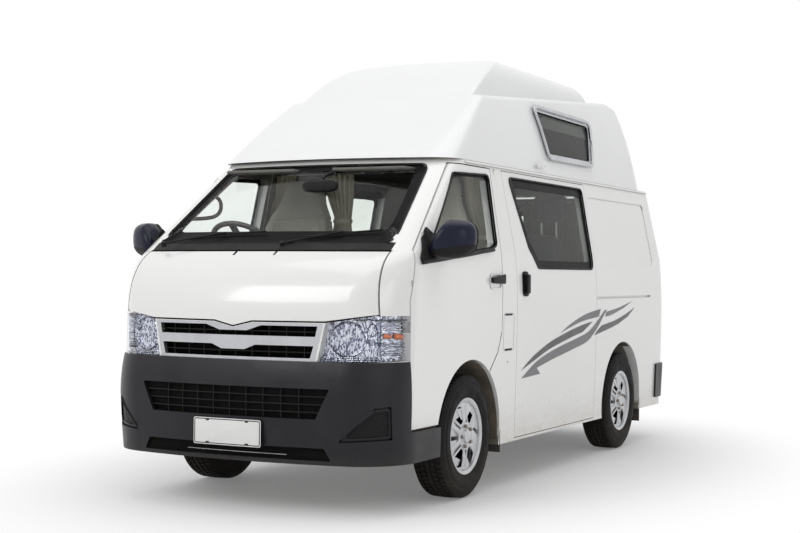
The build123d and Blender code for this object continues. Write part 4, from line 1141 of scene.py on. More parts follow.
def chrome_with_painted_reflections(name, bright, dark, scale, stretch):
    """Bright metal with painted reflections: dark streaks in its colour, like those a reflector of
    many facets shows.
    """
    material, tree, shader = new_material(name)
    shader.inputs["Metallic"].default_value = 1.0
    stretched = node(tree, "Mapping", {"Scale": stretch})
    tree.links.new(own_place(tree), stretched.inputs[0])
    cells = node(tree, "TexVoronoi", {"Scale": scale})
    tree.links.new(stretched.outputs[0], cells.inputs["Vector"])
    parts = node(tree, "SeparateColor")
    tree.links.new(cells.outputs["Color"], parts.inputs[0])
    # Mask of the dark streaks, which are painted reflections in the metal's colour
    streaks = ramp(tree, parts.outputs[0], 0.15, 0.75)
    tree.links.new(mix_colour(tree, streaks, rgba(dark), rgba(bright)), shader.inputs["Base Color"])
    tree.links.new(ramp(tree, parts.outputs[1], 0.0, 1.0, 0.06, 0.22), shader.inputs["Roughness"])
    add_relief(tree, shader, cells.outputs["Distance"], 0.5, 0.002)
    return material


# Headlamp and indicator chrome, with dark streaks of painted reflection in their colour
chrome = chrome_with_painted_reflections(
    "lamp_chrome_painted_reflections", (0.70, 0.71, 0.77), (0.12, 0.13, 0.19), 170.0, (1.0, 1.0, 0.5),
)
side_chrome = chrome_with_painted_reflections(
    "indicator_chrome_painted_reflections", (0.62, 0.64, 0.70), (0.22, 0.23, 0.28), 90.0, (0.5, 0.5, 2.2),
)
amber_bulb = finish_of(
    "amber_bulb", (0.72, 0.16, 0.03), (0.50, 0.10, 0.02), 30.0, 0.15, 0.1, fine=200.0, bump=0.05,
    coat_weight=0.6,
)
bulb_cap = finish_of(
    "bulb_cap", (0.10, 0.11, 0.16), (0.05, 0.05, 0.07), 30.0, 0.15, 0.1, 0.9, fine=200.0, bump=0.05,
)
lamp_seal = finish_of(
    "lamp_seal", (0.05, 0.05, 0.055), (0.035, 0.035, 0.04), 30.0, 0.4, 0.1, fine=300.0, bump=0.05,
)


def arc_place(degrees, inset_by, z, side):
    """Point inside the lamp, on an arc that follows the van's corner."""
    reach = corner_reach - inset_by
    angle = radians(min(degrees, 90.0))
    run_back = max(0.0, degrees - 90.0) * 0.004
    return Vector(
        (
            corner_place.x - run_back + reach * cos(angle),
            (corner_place.y + reach * sin(angle)) * side, z,
        )
    )


def bowl(name, place, radius, depth, turn, squash_y=1.0, facets=20):
    """Faceted reflector bowl that opens forwards, turned about its own upright line."""
    profile = [
        (1.06, 0.0), (1.0, 0.004 / depth), (0.97, -0.02), (0.86, -0.22), (0.70, -0.48),
        (0.50, -0.72), (0.28, -0.88), (0.10, -0.94),
    ]
    piece = ring_of(
        name,
        [(place.x + back * depth, place.y, place.z + share * radius) for share, back in profile],
    )
    open_ring(piece)
    edit(piece)
    bpy.ops.mesh.spin(steps=facets, angle=2 * pi, center=place, axis=(1, 0, 0))
    leave()
    recalculate(piece)
    for vertex in piece.data.vertices:
        vertex.co.y = place.y + (vertex.co.y - place.y) * squash_y
    piece.data.transform(turned(place, turn))
    thicken(piece, 0.002, 0.0)
    smooth(piece, 12)
    return piece


amber_low, amber_high = 0.860, 0.905  # heights that the bulbs take up, left free of ribs
lamp_parts = [reflector_back]
indicator_parts = []
caps = []
ambers = []
seals = []
for side in (1, -1):
    main = bowl(
        "main_bowl", Vector((2.206, 0.597 * side, 0.870)), 0.083, 0.055, radians(13.0) * side, 1.10,
        24,
    )
    second_place = arc_place(38.0, 0.046, 0.893, side)
    second = bowl("second_bowl", second_place, 0.052, 0.040, radians(36.0) * side, 0.50, 14)
    lamp_parts += [main, second]
    caps.append(
        rod(
            "bulb_cap", (2.160, 0.588 * side, 0.868), (2.190, 0.594 * side, 0.868), 0.013, 20,
            0.010,
        )
    )
    second_back = arc_place(38.0, 0.085, 0.893, side)
    caps.append(rod("second_bulb", second_back, second_place, 0.008, 16, 0.005))
    for low, high, z, thick in ((49.0, 58.0, 0.884, 0.013), (63.0, 73.0, 0.882, 0.016)):
        ambers.append(
            rod(
                "amber", arc_place(low, 0.036, z + 0.004, side), arc_place(high, 0.032, z, side),
                thick, 20, thick * 0.8,
            )
        )
    for level in range(10):
        z = 0.797 + level * 0.0175
        if amber_low < z < amber_high:
            continue
        for low, high in ((47.0, 57.0), (57.0, 67.0), (67.0, 75.5)):
            indicator_parts.append(
                rod(
                    "indicator_rib", arc_place(low, 0.028, z, side),
                    arc_place(high, 0.028, z, side), 0.0042, 8,
                )
            )
    for level in range(3):
        z = 0.766 + level * 0.0085
        run = [Vector((2.248, 0.470 * side, z)), Vector((2.246, 0.545 * side, z))]
        run += [arc_place(angle, 0.016, z, side) for angle in (12.0, 24.0, 35.0, 45.0)]
        for a, b in zip(run, run[1:]):
            lamp_parts.append(rod("lip_rib", a, b, 0.0042, 8))
    divider_points = [
        arc_place(45.5, 0.060, 0.788, side), arc_place(45.5, 0.010, 0.788, side),
        arc_place(45.5, 0.010, 0.966, side), arc_place(45.5, 0.060, 0.966, side),
    ]
    indicator_parts.append(plate("lamp_divider", divider_points, (-0.004, 0.004 * side, 0), 0.001))
    upper = [
        arc_place(angle, 0.009, 0.9655, side)
        for angle in (18.0, 30.0, 42.0, 54.0, 66.0, 75.5)
    ]
    for a, b in zip(upper, upper[1:]):
        seals.append(rod("lamp_upper_seal", a, b, 0.0035, 8))
    stations = (46.0, 56.0, 66.0, 76.0)
    for low, high in zip(stations, stations[1:]):
        corners = [
            arc_place(low, 0.040, 0.782, side), arc_place(high, 0.040, 0.782, side),
            arc_place(high, 0.040, 0.968, side), arc_place(low, 0.040, 0.968, side),
        ]
        panel = flat_outline("indicator_back", corners)
        thicken(panel, 0.002, 0.0)
        indicator_parts.append(panel)
for name, parts, finish, slot in (
    ("reflectors", lamp_parts, chrome, "lamp_clear"),
    ("indicators", indicator_parts, side_chrome, "lamp_clear"),
    ("bulb_caps", caps, bulb_cap, "lamp_clear"),
    ("indicator_bulbs", ambers, amber_bulb, "lamp_clear"),
    ("seals", seals, lamp_seal, "trim_black"),
):
    hand_over(fuse("headlamp_" + name, *parts), finish, "van_body")

# Dark cores behind the grille and the bumper's openings: near-black sheets, partly the dark parts
# behind the openings and partly painted shade of the cavities there
core_black_and_painted_shade = finish_of(
    "radiator_core_and_painted_shade", (0.004, 0.004, 0.005), (0.007, 0.007, 0.006), 8.0, 0.7, 0.2, grained=500.0,
    bump=0.4, specular=0.1,
)
grille_core = rounded_block("grille_core", (2.196, -0.452, 0.755), (2.206, 0.452, 0.935), 0.003)
bumper_core = patch(
    "bumper_core", oblong(0.575, 0.304, 0.640),
    across_at(nose_plane), nodes["nose_panel"], "-X", 0.003, 0.002, 0.06,
)
intake_core = rounded_block("intake_core", (2.262, -0.572, 0.266), (2.268, 0.572, 0.372), 0.002)
for core in (grille_core, bumper_core, intake_core):
    hand_over(core, core_black_and_painted_shade, "van_body")

# Blank number plate on the bumper
plate_white = finish_of(
    "plate_white", (0.78, 0.78, 0.77), (0.75, 0.75, 0.74), 8.0, 0.35, 0.1, fine=200.0, bump=0.05,
)
plate_low, plate_high, plate_half = 0.337, 0.470, 0.197
plate_x = 2.3535


def rounded_sheet(name, low, high, half, x, thickness, corner, edge=0.001):
    """Upright rounded sheet that faces forwards."""
    outline = rounded(oblong(half, low, high), corner)
    return plate(name, front_place(outline, x), (thickness, 0, 0), edge)


number_plate = rounded_sheet(
    "number_plate", plate_low, plate_high, plate_half, plate_x, 0.0016, 0.012, 0.0004,
)
plate_rim = band(
    "plate_rim",
    front_place(
        rounded(oblong(0.1925, plate_low + 0.0045, plate_high - 0.0045), 0.010), plate_x + 0.0017,
    ),
    front_place(
        rounded(oblong(0.1885, plate_low + 0.0085, plate_high - 0.0085), 0.007), plate_x + 0.0017,
    ),
)
recalculate_sheet(plate_rim, "-X")
thicken(plate_rim, 0.0008, 1.0)
plate_back = rounded_sheet(
    "plate_holder", plate_low + 0.006, plate_high - 0.006, plate_half - 0.006, plate_x - 0.012,
    0.0118, 0.010,
)
slots = []
for y in (-0.115, 0.115):
    for z in (plate_low + 0.012, plate_high - 0.012):
        slot_ring = rounded(
            oblong(0.010, z - 0.003, z + 0.003, y), 0.003
        )
        slots.append(plate("plate_slot", front_place(slot_ring, plate_x + 0.0016), (0.0007, 0, 0)))
plate_dark = fuse("plate_marks", plate_rim, *slots)
hand_over(number_plate, plate_white, "van_body")
for dark in (plate_dark, plate_back):
    hand_over(dark, black_trim, "van_body")

# Mesh blanks in the fog lamp pockets
fog_outline = [(0.604, 0.392), (0.744, 0.528), (0.792, 0.534), (0.792, 0.404)]
mesh_finish = finish_of(
    "blank_mesh", (0.007, 0.007, 0.008), (0.010, 0.010, 0.010), 12.0, 0.55, 0.1, cloth=60.0,
    bump=1.0, specular=0.2,
)
for side, word, direction in sides:
    blank = patch(
        f"fog_blank_{word}", rounded([(y * side, z) for y, z in fog_outline], 0.012),
        across_at(nose_plane), nodes["front_bumper"], "-X", 0.0018, 0.0018, 0.02,
    )
    hand_over(blank, mesh_finish, "van_body")
    surround = trim_band(
        f"fog_surround_{word}", rounded(
            [(y * side, z) for y, z in inset(fog_outline, -0.008)], 0.016,
        ),
        rounded([(y * side, z) for y, z in inset(fog_outline, 0.003)], 0.012),
        across_at(nose_plane), nodes["front_bumper"], "-X", 0.004, 0.004, 0.0015, 0.03,
    )
    hand_over(surround, bumper_plastic, "van_body")

# Wipers that rest along the lower edge of the windscreen
def on_screen(y, z, lift):
    """Point off the windscreen's outside at a width and height, and the screen's normal there."""
    hit, place, normal = struck("windscreen", (2.6, y, z), (-1, 0, 0))
    return place + normal * lift, normal


for index, (base_y, tip_y, tip_z) in enumerate(((-0.62, -0.02, 1.392), (0.12, 0.62, 1.398))):
    base = Vector((2.045, base_y, 1.336))
    clear_selection()
    tip, normal = on_screen(tip_y, tip_z, 0.016)
    hub = rod(
        f"wiper_pivot_{index}", base - Vector((0.004, 0, 0.010)), base + Vector((0.010, 0, 0.012)),
        0.015, 20, 0.012,
    )
    blade_start, normal = on_screen(base_y + 0.10, 1.368, 0.009)
    arm = rod(
        f"wiper_arm_{index}", base + Vector((0.006, 0, 0.006)),
        (tip + blade_start) / 2 + normal * 0.012, 0.0055, 8, 0.004,
    )
    pieces_here = [hub, arm]
    middle, normal = on_screen((base_y + tip_y) / 2, 1.382, 0.010)
    for a, b in ((blade_start, middle), (middle, tip)):
        pieces_here.append(rod("wiper_blade", a, b, 0.005, 8))
    hand_over(fuse(f"wiper_{index}", *pieces_here), black_trim, "van_body")

# Stripes, handles, fuel flap and seams on the sides

stripe_black = finish_of(
    "stripe_black", (0.010, 0.010, 0.011), (0.016, 0.016, 0.016), 6.0, 0.25, 0.1, fine=60.0,
    bump=0.02,
)
stripe_grey = finish_of(
    "stripe_grey", (0.095, 0.095, 0.105), (0.110, 0.110, 0.118), 6.0, 0.28, 0.1, fine=60.0,
    bump=0.02,
)


def smooth_run(points, steps=4):
    """Soft curve through points that belong to one long side of a stripe."""
    found = []
    for i in range(len(points) - 1):
        a = Vector(points[max(0, i - 1)])
        b, c = Vector(points[i]), Vector(points[i + 1])
        d = Vector(points[min(len(points) - 1, i + 2)])
        for step in range(steps):
            t = step / steps
            found.append(
                tuple(
                    0.5
                    * (
                        2 * b
                        + (c - a) * t
                        + (2 * a - 5 * b + 4 * c - d) * t**2
                        + (3 * b - a - 3 * c + d) * t**3
                    )
                )
            )
    return found + [tuple(points[-1])]


stripes = (
    ("stripe_lower_black", stripe_black,
     smooth_run(
         [
             (0.596, 0.639), (0.450, 0.700), (0.311, 0.743), (0.140, 0.787), (-0.046, 0.821),
             (-0.240, 0.851), (-0.433, 0.876), (-0.619, 0.892),
         ]
     )
     + smooth_run(
         [
             (-0.434, 0.830), (-0.270, 0.809), (-0.110, 0.786), (0.060, 0.760), (0.222, 0.729),
             (0.596, 0.639),
         ]
     )[:-1]),
    ("stripe_barb_grey", stripe_grey,
     [(0.588, 0.593), (0.293, 0.604), (0.352, 0.642)]
     + smooth_run(
         [
             (0.352, 0.642), (0.210, 0.664), (0.073, 0.684), (-0.303, 0.733), (-0.535, 0.770),
             (-0.707, 0.845), (-0.810, 0.910), (-0.903, 0.965),
         ]
     )[1:]
     + smooth_run(
         [
             (-0.848, 0.960), (-0.705, 0.892), (-0.534, 0.827), (-0.301, 0.790), (0.074, 0.738),
             (0.367, 0.677), (0.588, 0.593),
         ]
     )[:-1]),
    ("stripe_upper_grey", stripe_grey,
     smooth_run([(-0.030, 0.835), (-0.234, 0.893), (-0.497, 0.944), (-0.775, 0.971)])
     + smooth_run([(-0.740, 0.921), (-0.432, 0.899), (-0.234, 0.871), (-0.030, 0.835)])[:-1]),
    ("stripe_rear_grey", stripe_grey,
     smooth_run([(-0.885, 0.950), (-1.146, 0.973), (-1.440, 1.014)])
     + smooth_run([(-1.261, 0.971), (-0.995, 0.927), (-0.867, 0.918)])),
    ("stripe_rear_black", stripe_black,
     smooth_run([(-0.796, 0.861), (-1.071, 0.889), (-1.301, 0.927), (-1.500, 0.971)])
     + smooth_run([(-1.341, 0.907), (-1.110, 0.858), (-0.888, 0.828), (-0.657, 0.800)])
     + [(-0.707, 0.828)]),
)


door_edge_x, panel_edge_x = -0.6895, -0.6945  # where a stripe stops on each side of the gap


def cut_away(piece, x, keep_front):
    """Removes what lies behind or ahead of a plane across the van."""
    edit(piece)
    bpy.ops.mesh.bisect(
        plane_co=(x, 0, 0), plane_no=(1, 0, 0), clear_inner=keep_front, clear_outer=not keep_front
    )
    leave()


for side, word, direction in sides:
    for name, finish, outline in stripes:
        for half, front, target in (
            ("a", True, "sliding_door" if side > 0 else "body_side_right"),
            ("b", False, "body_side_left" if side > 0 else "body_side_right"),
        ):
            edge_x = door_edge_x if front else panel_edge_x
            flat = flat_outline("flat", side_place(outline, beside_plane * side))
            inside = [v.co.x > edge_x for v in flat.data.vertices]
            if front and not any(inside) or not front and all(inside):
                bpy.data.objects.remove(flat)
                continue
            cut_away(flat, edge_x, front)
            span = [v.co.x for v in flat.data.vertices]
            count = int((max(span) - min(span)) / 0.05)
            for step in range(1, count + 1):
                x = min(span) + (max(span) - min(span)) * step / (count + 1)
                edit(flat)
                bpy.ops.mesh.bisect(plane_co=(x, 0, 0), plane_no=(1, 0, 0))
                leave()
            edit(flat)
            bpy.ops.mesh.quads_convert_to_tris(ngon_method="CLIP")
            leave()
            project(flat, nodes[target], direction, 0.0005)
            recalculate_sheet(flat, direction)
            thicken(flat, film)
            flat.name = f"{name}_{word}_{half}"
            hand_over(flat, finish, "van_body")

# Pull handles of the front doors, each in a shallow white cup
for side, word, direction in sides:
    body = "door_" + word
    bar = rounded_block(f"door_pull_{word}", (0.877, 0.852, 1.141), (1.055, 0.866, 1.184), 0.009, 3)
    for vertex in bar.data.vertices:
        vertex.co.z += 0.010 * (vertex.co.x - 0.966) / 0.09 * (-1.0 if vertex.co.z > 1.16 else 0.25)
    stand_front = rounded_block("stand", (1.030, 0.838, 1.146), (1.052, 0.855, 1.176), 0.004)
    stand_rear = rounded_block("stand", (0.880, 0.838, 1.146), (0.902, 0.855, 1.180), 0.004)
    pull = fuse(f"door_pull_{word}", bar, stand_front, stand_rear)
    lock = rod(f"door_lock_{word}", (0.868, 0.840, 1.160), (0.868, 0.8475, 1.160), 0.010, 20)
    cup = trim_band(
        f"door_cup_{word}",
        rounded(corners_of(1.062, 0.896, 1.108, 1.196), 0.040),
        rounded(corners_of(1.050, 0.906, 1.118, 1.188), 0.034),
        beside_at(1), nodes["front_door_left"], "-Y", 0.0018, 0.003, 0.0012,
    )
    for piece, finish, slot in (
        (pull, black_trim, "trim_black"), (lock, steel, "steel"), (cup, body_paint, "body_white"),
    ):
        if side < 0:
            mirror_over(piece)
        hand_over(piece, finish, body)

# Upright pull of the sliding door, on a black plate
slide_y = 0.8445
slide_plate = patch(
    "slide_pull_plate", rounded(
        corners_of(0.592, 0.500, 1.066, 1.210), 0.034,
    ),
    beside_at(1), nodes["sliding_door"], "-Y", 0.003, 0.004, 0.03, 0.001,
)
hand_over(slide_plate, gloss_black, "van_body")
slide_pull = rounded_block("slide_pull", (0.522, 0.8560, 1.082), (0.570, 0.8720, 1.194), 0.008, 3)
slide_feet = [
    rounded_block("slide_foot", (0.528, slide_y, z - 0.009), (0.564, 0.8575, z + 0.009), 0.003)
    for z in (1.091, 1.185)
]
hand_over(fuse("slide_pull", slide_pull, *slide_feet), black_trim, "van_body")

# Fuel flap between the doors: a fine dark line with two hinge marks
flap_line = trim_band(
    "fuel_flap_line",
    rounded(corners_of(0.866, 0.716, 0.762, 0.974), 0.022),
    rounded(corners_of(0.8640, 0.718, 0.764, 0.972), 0.0205),
    beside_at(1), nodes["body_side_left"], "-Y", film, film,
)
seam_grey = finish_of(
    "seam_shadow", (0.24, 0.24, 0.235), (0.34, 0.34, 0.33), 8.0, 0.5, 0.2, fine=60.0, bump=0.05,
)
hand_over(flap_line, seam_grey, "van_body")
for z in (0.770, 0.966):
    mark = patch(
        "fuel_flap_mark", rounded(corners_of(0.846, 0.742, z - 0.005, z + 0.005), 0.004),
        beside_at(1), nodes["body_side_left"], "-Y", 0.0007, 0.0007, 0.03,
    )
    mark.name = f"fuel_flap_mark_{round(z * 1000)}"
    hand_over(mark, black_trim, "van_body")

# Door mirrors, waist ledges, interior mirror, visors and grab handle

def egg(name, centre, half, power=3.0, segments=40, rings=24):
    """Soft-cornered solid: a ball pushed towards a block."""
    clear_selection()
    bpy.ops.mesh.primitive_uv_sphere_add(segments=segments, ring_count=rings, radius=1)
    piece = take(name)
    for vertex in piece.data.vertices:
        u = vertex.co.normalized()
        reach = (abs(u.x) ** power + abs(u.y) ** power + abs(u.z) ** power) ** (-1.0 / power)
        vertex.co = Vector(centre) + Vector(
            (u.x * reach * half[0], u.y * reach * half[1], u.z * reach * half[2])
        )
    piece.data.update()
    smooth(piece, 60)
    return piece


shell_inner, shell_outer = 0.842, 1.050
shell_wide, shell_middle = shell_outer - shell_inner, (shell_inner + shell_outer) / 2
shell_rear, shell_low, shell_tall = 1.672, 1.264, 0.198


def mirror_height(t, share):
    """Height in the mirror from the shares of its width and its height."""
    top_share = 1.0 - 0.62 * max(0.0, 0.42 - t) ** 1.5 / 0.42**1.5
    low_lift = 0.030 * t * t
    return shell_low + low_lift + share * (shell_tall * top_share - low_lift)


def shape_mirror(piece, shrink=0.0):
    """Slopes the inner end down, lifts the lower edge outwards and flattens the back."""
    for vertex in piece.data.vertices:
        t = (vertex.co.y - shell_inner) / shell_wide
        vertex.co.z = mirror_height(t, (vertex.co.z - shell_low) / shell_tall)
        bulge = vertex.co.x - shell_rear
        vertex.co.x = max(
            shell_rear + shrink, vertex.co.x - 0.085 * t * min(1.0, max(0.0, bulge / 0.15)),
        )
    piece.data.update()


for side, word, direction in sides:
    body = "door_" + word
    shell = egg(
        f"mirror_shell_{word}", (1.768, shell_middle, 1.363), (0.104, shell_wide / 2, 0.099),
    )
    shape_mirror(shell)
    shell_skirt = egg(
        "skirt", (1.768, shell_middle, 1.363), (0.1050, shell_wide / 2 + 0.0012, 0.0998),
    )
    shape_mirror(shell_skirt)
    edit(shell_skirt)
    bpy.ops.mesh.bisect(
        plane_co=(1.72, 0.85, 1.306), plane_no=(0.0, -0.16, 1.0), clear_outer=True, use_fill=True,
    )
    leave()
    smooth(shell_skirt, 40)
    rim_ring = egg(
        "mirror_ring", (1.690, shell_middle, 1.363), (0.026, shell_wide / 2 - 0.002, 0.097),
    )
    shape_mirror(rim_ring, -0.006)
    glass_points = []
    for step in range(36):
        angle = 2 * pi * step / 36
        u, w = cos(angle), sin(angle)
        reach = (abs(u) ** 3.0 + abs(w) ** 3.0) ** (-1.0 / 3.0)
        y = shell_middle + u * reach * 0.084
        z = mirror_height((y - shell_inner) / shell_wide, (w * reach * 0.086 + 0.099) / shell_tall)
        glass_points.append((shell_rear - 0.0065, y, z))
    glass = plate(f"mirror_glass_{word}", glass_points, (-0.003, 0, 0), 0.0008)
    # Black sail on the door that carries the shell
    sail = patch(
        f"mirror_sail_{word}",
        rounded(
            [(1.925, 1.250), (1.705, 1.262), (1.705, 1.330), (1.745, 1.395), (1.800, 1.430)],
            [0.020, 0.01, 0.02, 0.01, 0.015],
        ),
        beside_at(1), nodes["front_door_left"], "-Y", 0.003, 0.010, 0.03, 0.002,
    )
    arm = egg("mirror_arm", (1.760, 0.868, 1.300), (0.050, 0.040, 0.030), 2.6, 28, 16)
    black_parts = fuse(f"mirror_base_{word}", sail, arm, shell_skirt, rim_ring)
    ledge_outline = [
        (1.905, 1.236), (1.905, 1.262), (1.360, 1.306), (1.000, 1.340), (0.990, 1.318),
        (1.360, 1.284),
    ]
    ledge = patch(
        f"waist_ledge_{word}", rounded(ledge_outline, 0.008), beside_at(1),
        nodes["front_door_left"], "-Y", 0.006, 0.012, 0.05, 0.003,
    )
    ribs = []
    for step in range(26):
        x = 1.340 - step * 0.013
        z = 1.299 + (1.340 - x) * 0.098
        ribs.append(rod("ledge_rib", (x, 0.0, z + 0.001), (x - 0.006, 0.0, z + 0.006), 0.0025, 6))
    clear_selection()
    rib_row = fuse(f"ledge_ribs_{word}", *ribs)
    for vertex in rib_row.data.vertices:
        hit, place, normal = struck(
            "front_door_left", (vertex.co.x, 1.2, vertex.co.z), (0, -1, 0)
        )
        vertex.co.y += (place.y if hit else 0.836) + 0.0065
    ledge = fuse(f"waist_ledge_{word}", ledge, rib_row)
    for piece, finish, slot in (
        (shell, mirror_shell, "mirror_shell"), (glass, mirror_glass, "steel"),
        (black_parts, black_trim, "trim_black"), (ledge, black_trim, "trim_black"),
    ):
        if side < 0:
            mirror_over(piece)
        hand_over(piece, finish, body)
    for piece in (shell, glass, black_parts):
        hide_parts(f"door_mirror_{word}")


def tube(name, points, radius, order=3):
    """Bent bar along a smooth line."""
    data = bpy.data.curves.new(name, "CURVE")
    data.dimensions = "3D"
    data.bevel_depth = radius
    data.bevel_resolution = 3
    data.resolution_u = 8
    data.use_fill_caps = True
    line = data.splines.new("NURBS")
    line.points.add(len(points) - 1)
    for slot_point, point in zip(line.points, points):
        slot_point.co = (*point, 1.0)
    line.order_u = order
    line.use_endpoint_u = True
    piece = bpy.data.objects.new(name, data)
    scene.collection.objects.link(piece)
    pick(piece)
    bpy.ops.object.convert(target="MESH")
    smooth(piece, 50)
    return piece


trim_board = finish_of(
    "pillar_trim", (0.12, 0.115, 0.105), (0.10, 0.095, 0.088), 8.0, 0.6, 0.1, grained=500.0,
    bump=0.25,
)
visor_cloth = finish_of(
    "visor_cloth", (0.16, 0.155, 0.14), (0.14, 0.135, 0.12), 8.0, 0.8, 0.1, cloth=300.0, bump=0.3,
)
cabin_mirror_place = (1.640, 0.103, 1.655)
cabin_mirror = egg("cabin_mirror", cabin_mirror_place, (0.020, 0.128, 0.034), 3.4, 32, 16)
cabin_mirror.data.transform(turned(cabin_mirror_place, radians(-14)))
hit, place, normal = struck("windscreen", (1.0, 0.103, 1.742), (1, 0, 0))
stem_top = place - Vector((0.004, 0, 0)) if hit else Vector((1.60, 0.103, 1.742))
stem = tube(
    "stem",
    [stem_top, stem_top - Vector((0.02, 0, 0.008)), (1.615, 0.103, 1.715), (1.632, 0.103, 1.668)],
    0.010,
)
foot_pad = egg(
    "mirror_foot", tuple(stem_top - Vector((0.004, 0, 0))), (0.010, 0.022, 0.030), 2.4, 20, 12,
)
hand_over(fuse("cabin_mirror", cabin_mirror, stem, foot_pad), black_trim, "van_body")

for side, word, direction in sides:
    visor = side_block(
        f"sun_visor_{word}", (1.395, 0.120, 1.742), (1.545, 0.560, 1.760), side, 0.008, 3
    )
    hand_over(visor, visor_cloth, "van_body")
    hold = rod(
        f"visor_pin_{word}", (1.470, 0.110 * side, 1.751), (1.470, 0.575 * side, 1.751), 0.0045, 12,
    )
    hand_over(hold, grip_plastic, "van_body")

grab = tube(
    "pillar_grab",
    [
        (1.490, -0.742, 1.640), (1.462, -0.700, 1.628), (1.440, -0.668, 1.600),
        (1.450, -0.655, 1.545), (1.500, -0.655, 1.505), (1.570, -0.690, 1.490),
        (1.605, -0.752, 1.488),
    ],
    0.011,
)
hand_over(grab, trim_board, "van_body")

# Padded seats and bench, swollen by cloth simulation, and the pleated curtains

def grown_block(name, low, high, shape, cuts=5):
    """Rounded block cut into a grid whose points the shape moves."""
    clear_selection()
    centre = (Vector(low) + Vector(high)) / 2
    size = Vector(high) - Vector(low)
    bpy.ops.mesh.primitive_cube_add(size=1, location=centre)
    bpy.context.view_layer.objects.active.scale = size
    piece = take(name)
    edit(piece)
    bpy.ops.mesh.subdivide(number_cuts=cuts)
    leave()
    for vertex in piece.data.vertices:
        share = Vector(
            (
                (vertex.co.x - low[0]) / size.x, (vertex.co.y - low[1]) / size.y,
                (vertex.co.z - low[2]) / size.z,
            )
        )
        vertex.co = shape(vertex.co.copy(), share)
    modify(piece, "SUBSURF", levels=1)
    return piece


def plump(piece, cap, voxel=0.010, pressure=4.0):
    """Swells a pad by cloth simulation, no point further than the cap, and softens it."""
    modify(piece, "REMESH", mode="VOXEL", voxel_size=voxel)
    starts = [vertex.co.copy() for vertex in piece.data.vertices]
    pick(piece)
    cloth = piece.modifiers.new("cloth", "CLOTH")
    cloth.settings.quality = 4
    cloth.settings.use_pressure = True
    cloth.settings.uniform_pressure_force = pressure
    cloth.settings.effector_weights.gravity = 0.0
    cloth.point_cache.frame_start = 1
    cloth.point_cache.frame_end = 20
    for step in range(1, 21):
        scene.frame_set(step)
    bpy.ops.object.modifier_apply(modifier="cloth")
    scene.frame_set(1)
    for vertex, start in zip(piece.data.vertices, starts):
        moved = vertex.co - start
        if moved.length > cap:
            vertex.co = start + moved.normalized() * cap
    modify(piece, "SMOOTH", factor=0.5, iterations=3)
    modify(piece, "SUBSURF", levels=1)
    piece.data.update()
    smooth(piece, 60)
    return piece


def groove(piece, distance, depth, width=0.007):
    """Sewn channel: points near the seam are drawn in along their normals."""
    for vertex in piece.data.vertices:
        away = abs(distance(vertex.co))
        if away < width:
            vertex.co -= vertex.normal * depth * (0.5 + 0.5 * cos(pi * away / width))
    piece.data.update()


seat_middle = 0.440


def cushion_shape(point, share):
    """Seat cushion: rounded front, raised side bolsters."""
    sideways = abs(share.y * 2 - 1)
    if share.z > 0.5:
        point.z += 0.012 * sideways**2 - 0.018 * max(0.0, share.x - 0.7) / 0.3
    point.y = seat_middle + (point.y - seat_middle) * (0.94 + 0.06 * sin(pi * share.x))
    return point


back_foot, back_top = Vector((1.060, 0.0, 1.000)), Vector((0.872, 0.0, 1.752))


def back_shape(point, share):
    """Seat back that leans, narrows into the head part and has side bolsters."""
    rise = share.z
    half = 0.222 + 0.012 * sin(pi * min(1.0, rise / 0.72))
    if rise > 0.66:
        t = min(1.0, (rise - 0.66) / 0.13)
        half = half + (0.152 - half) * (t * t * (3 - 2 * t))
    if rise > 0.8:
        half -= 0.040 * ((rise - 0.8) / 0.2) ** 2
    depth = 0.104 - 0.022 * rise - (0.014 if rise > 0.72 else 0.0)
    sideways = share.y * 2 - 1
    base = back_foot.lerp(back_top, rise)
    bow = 0.014 * sin(pi * rise)
    point.x = base.x - 0.055 + share.x * depth + bow
    if share.x > 0.5:
        point.x += 0.016 * sideways**2 * (1.0 - rise)
    point.y = seat_middle + sideways * half
    point.z = base.z
    return point


seat_cushion = grown_block(
    "seat_cushion", (1.010, 0.212, 0.888), (1.458, 0.668, 0.992), cushion_shape, 7,
)
plump(seat_cushion, 0.014)
groove(seat_cushion, lambda p: abs(p.y - seat_middle) - 0.140, 0.005)
groove(seat_cushion, lambda p: p.x - 1.340, 0.004)
seat_back = grown_block("seat_back", (0.9, 0.23, 1.0), (1.0, 0.65, 1.75), back_shape, 9)
plump(seat_back, 0.014)
seam_rise = 0.665
groove(seat_back, lambda p: p.z - (back_foot.z + (back_top.z - back_foot.z) * seam_rise), 0.006)
groove(seat_back, lambda p: abs(p.y - seat_middle) - 0.135 if p.z < 1.49 else 1.0, 0.005)
seat_base = rounded_block("seat_base", (0.990, 0.235, 0.826), (1.440, 0.645, 0.884), 0.010)
recliner = rod("seat_recliner", (1.030, 0.652, 0.960), (1.030, 0.672, 0.960), 0.036, 24, 0.030)
frame_left = plate(
    "seat_side",
    [(0.995, 0.655, 0.895), (1.110, 0.655, 0.885), (1.090, 0.655, 0.985), (1.010, 0.655, 1.040)],
    (0, 0.012, 0), 0.003,
)
seat_hard = fuse("seat_frame", seat_base, recliner, frame_left)
for side, word, direction in sides:
    matrix = Matrix.Identity(4) if side > 0 else across
    for part, finish, soft in (
        (seat_cushion, seat_fabric, 0.8), (seat_back, seat_fabric, 0.8),
        (seat_hard, grip_plastic, None),
    ):
        here = part if side > 0 else copied(part, part.name + "_right", matrix)
        hand_over(here, finish, "van_body")
        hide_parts("front_seats")

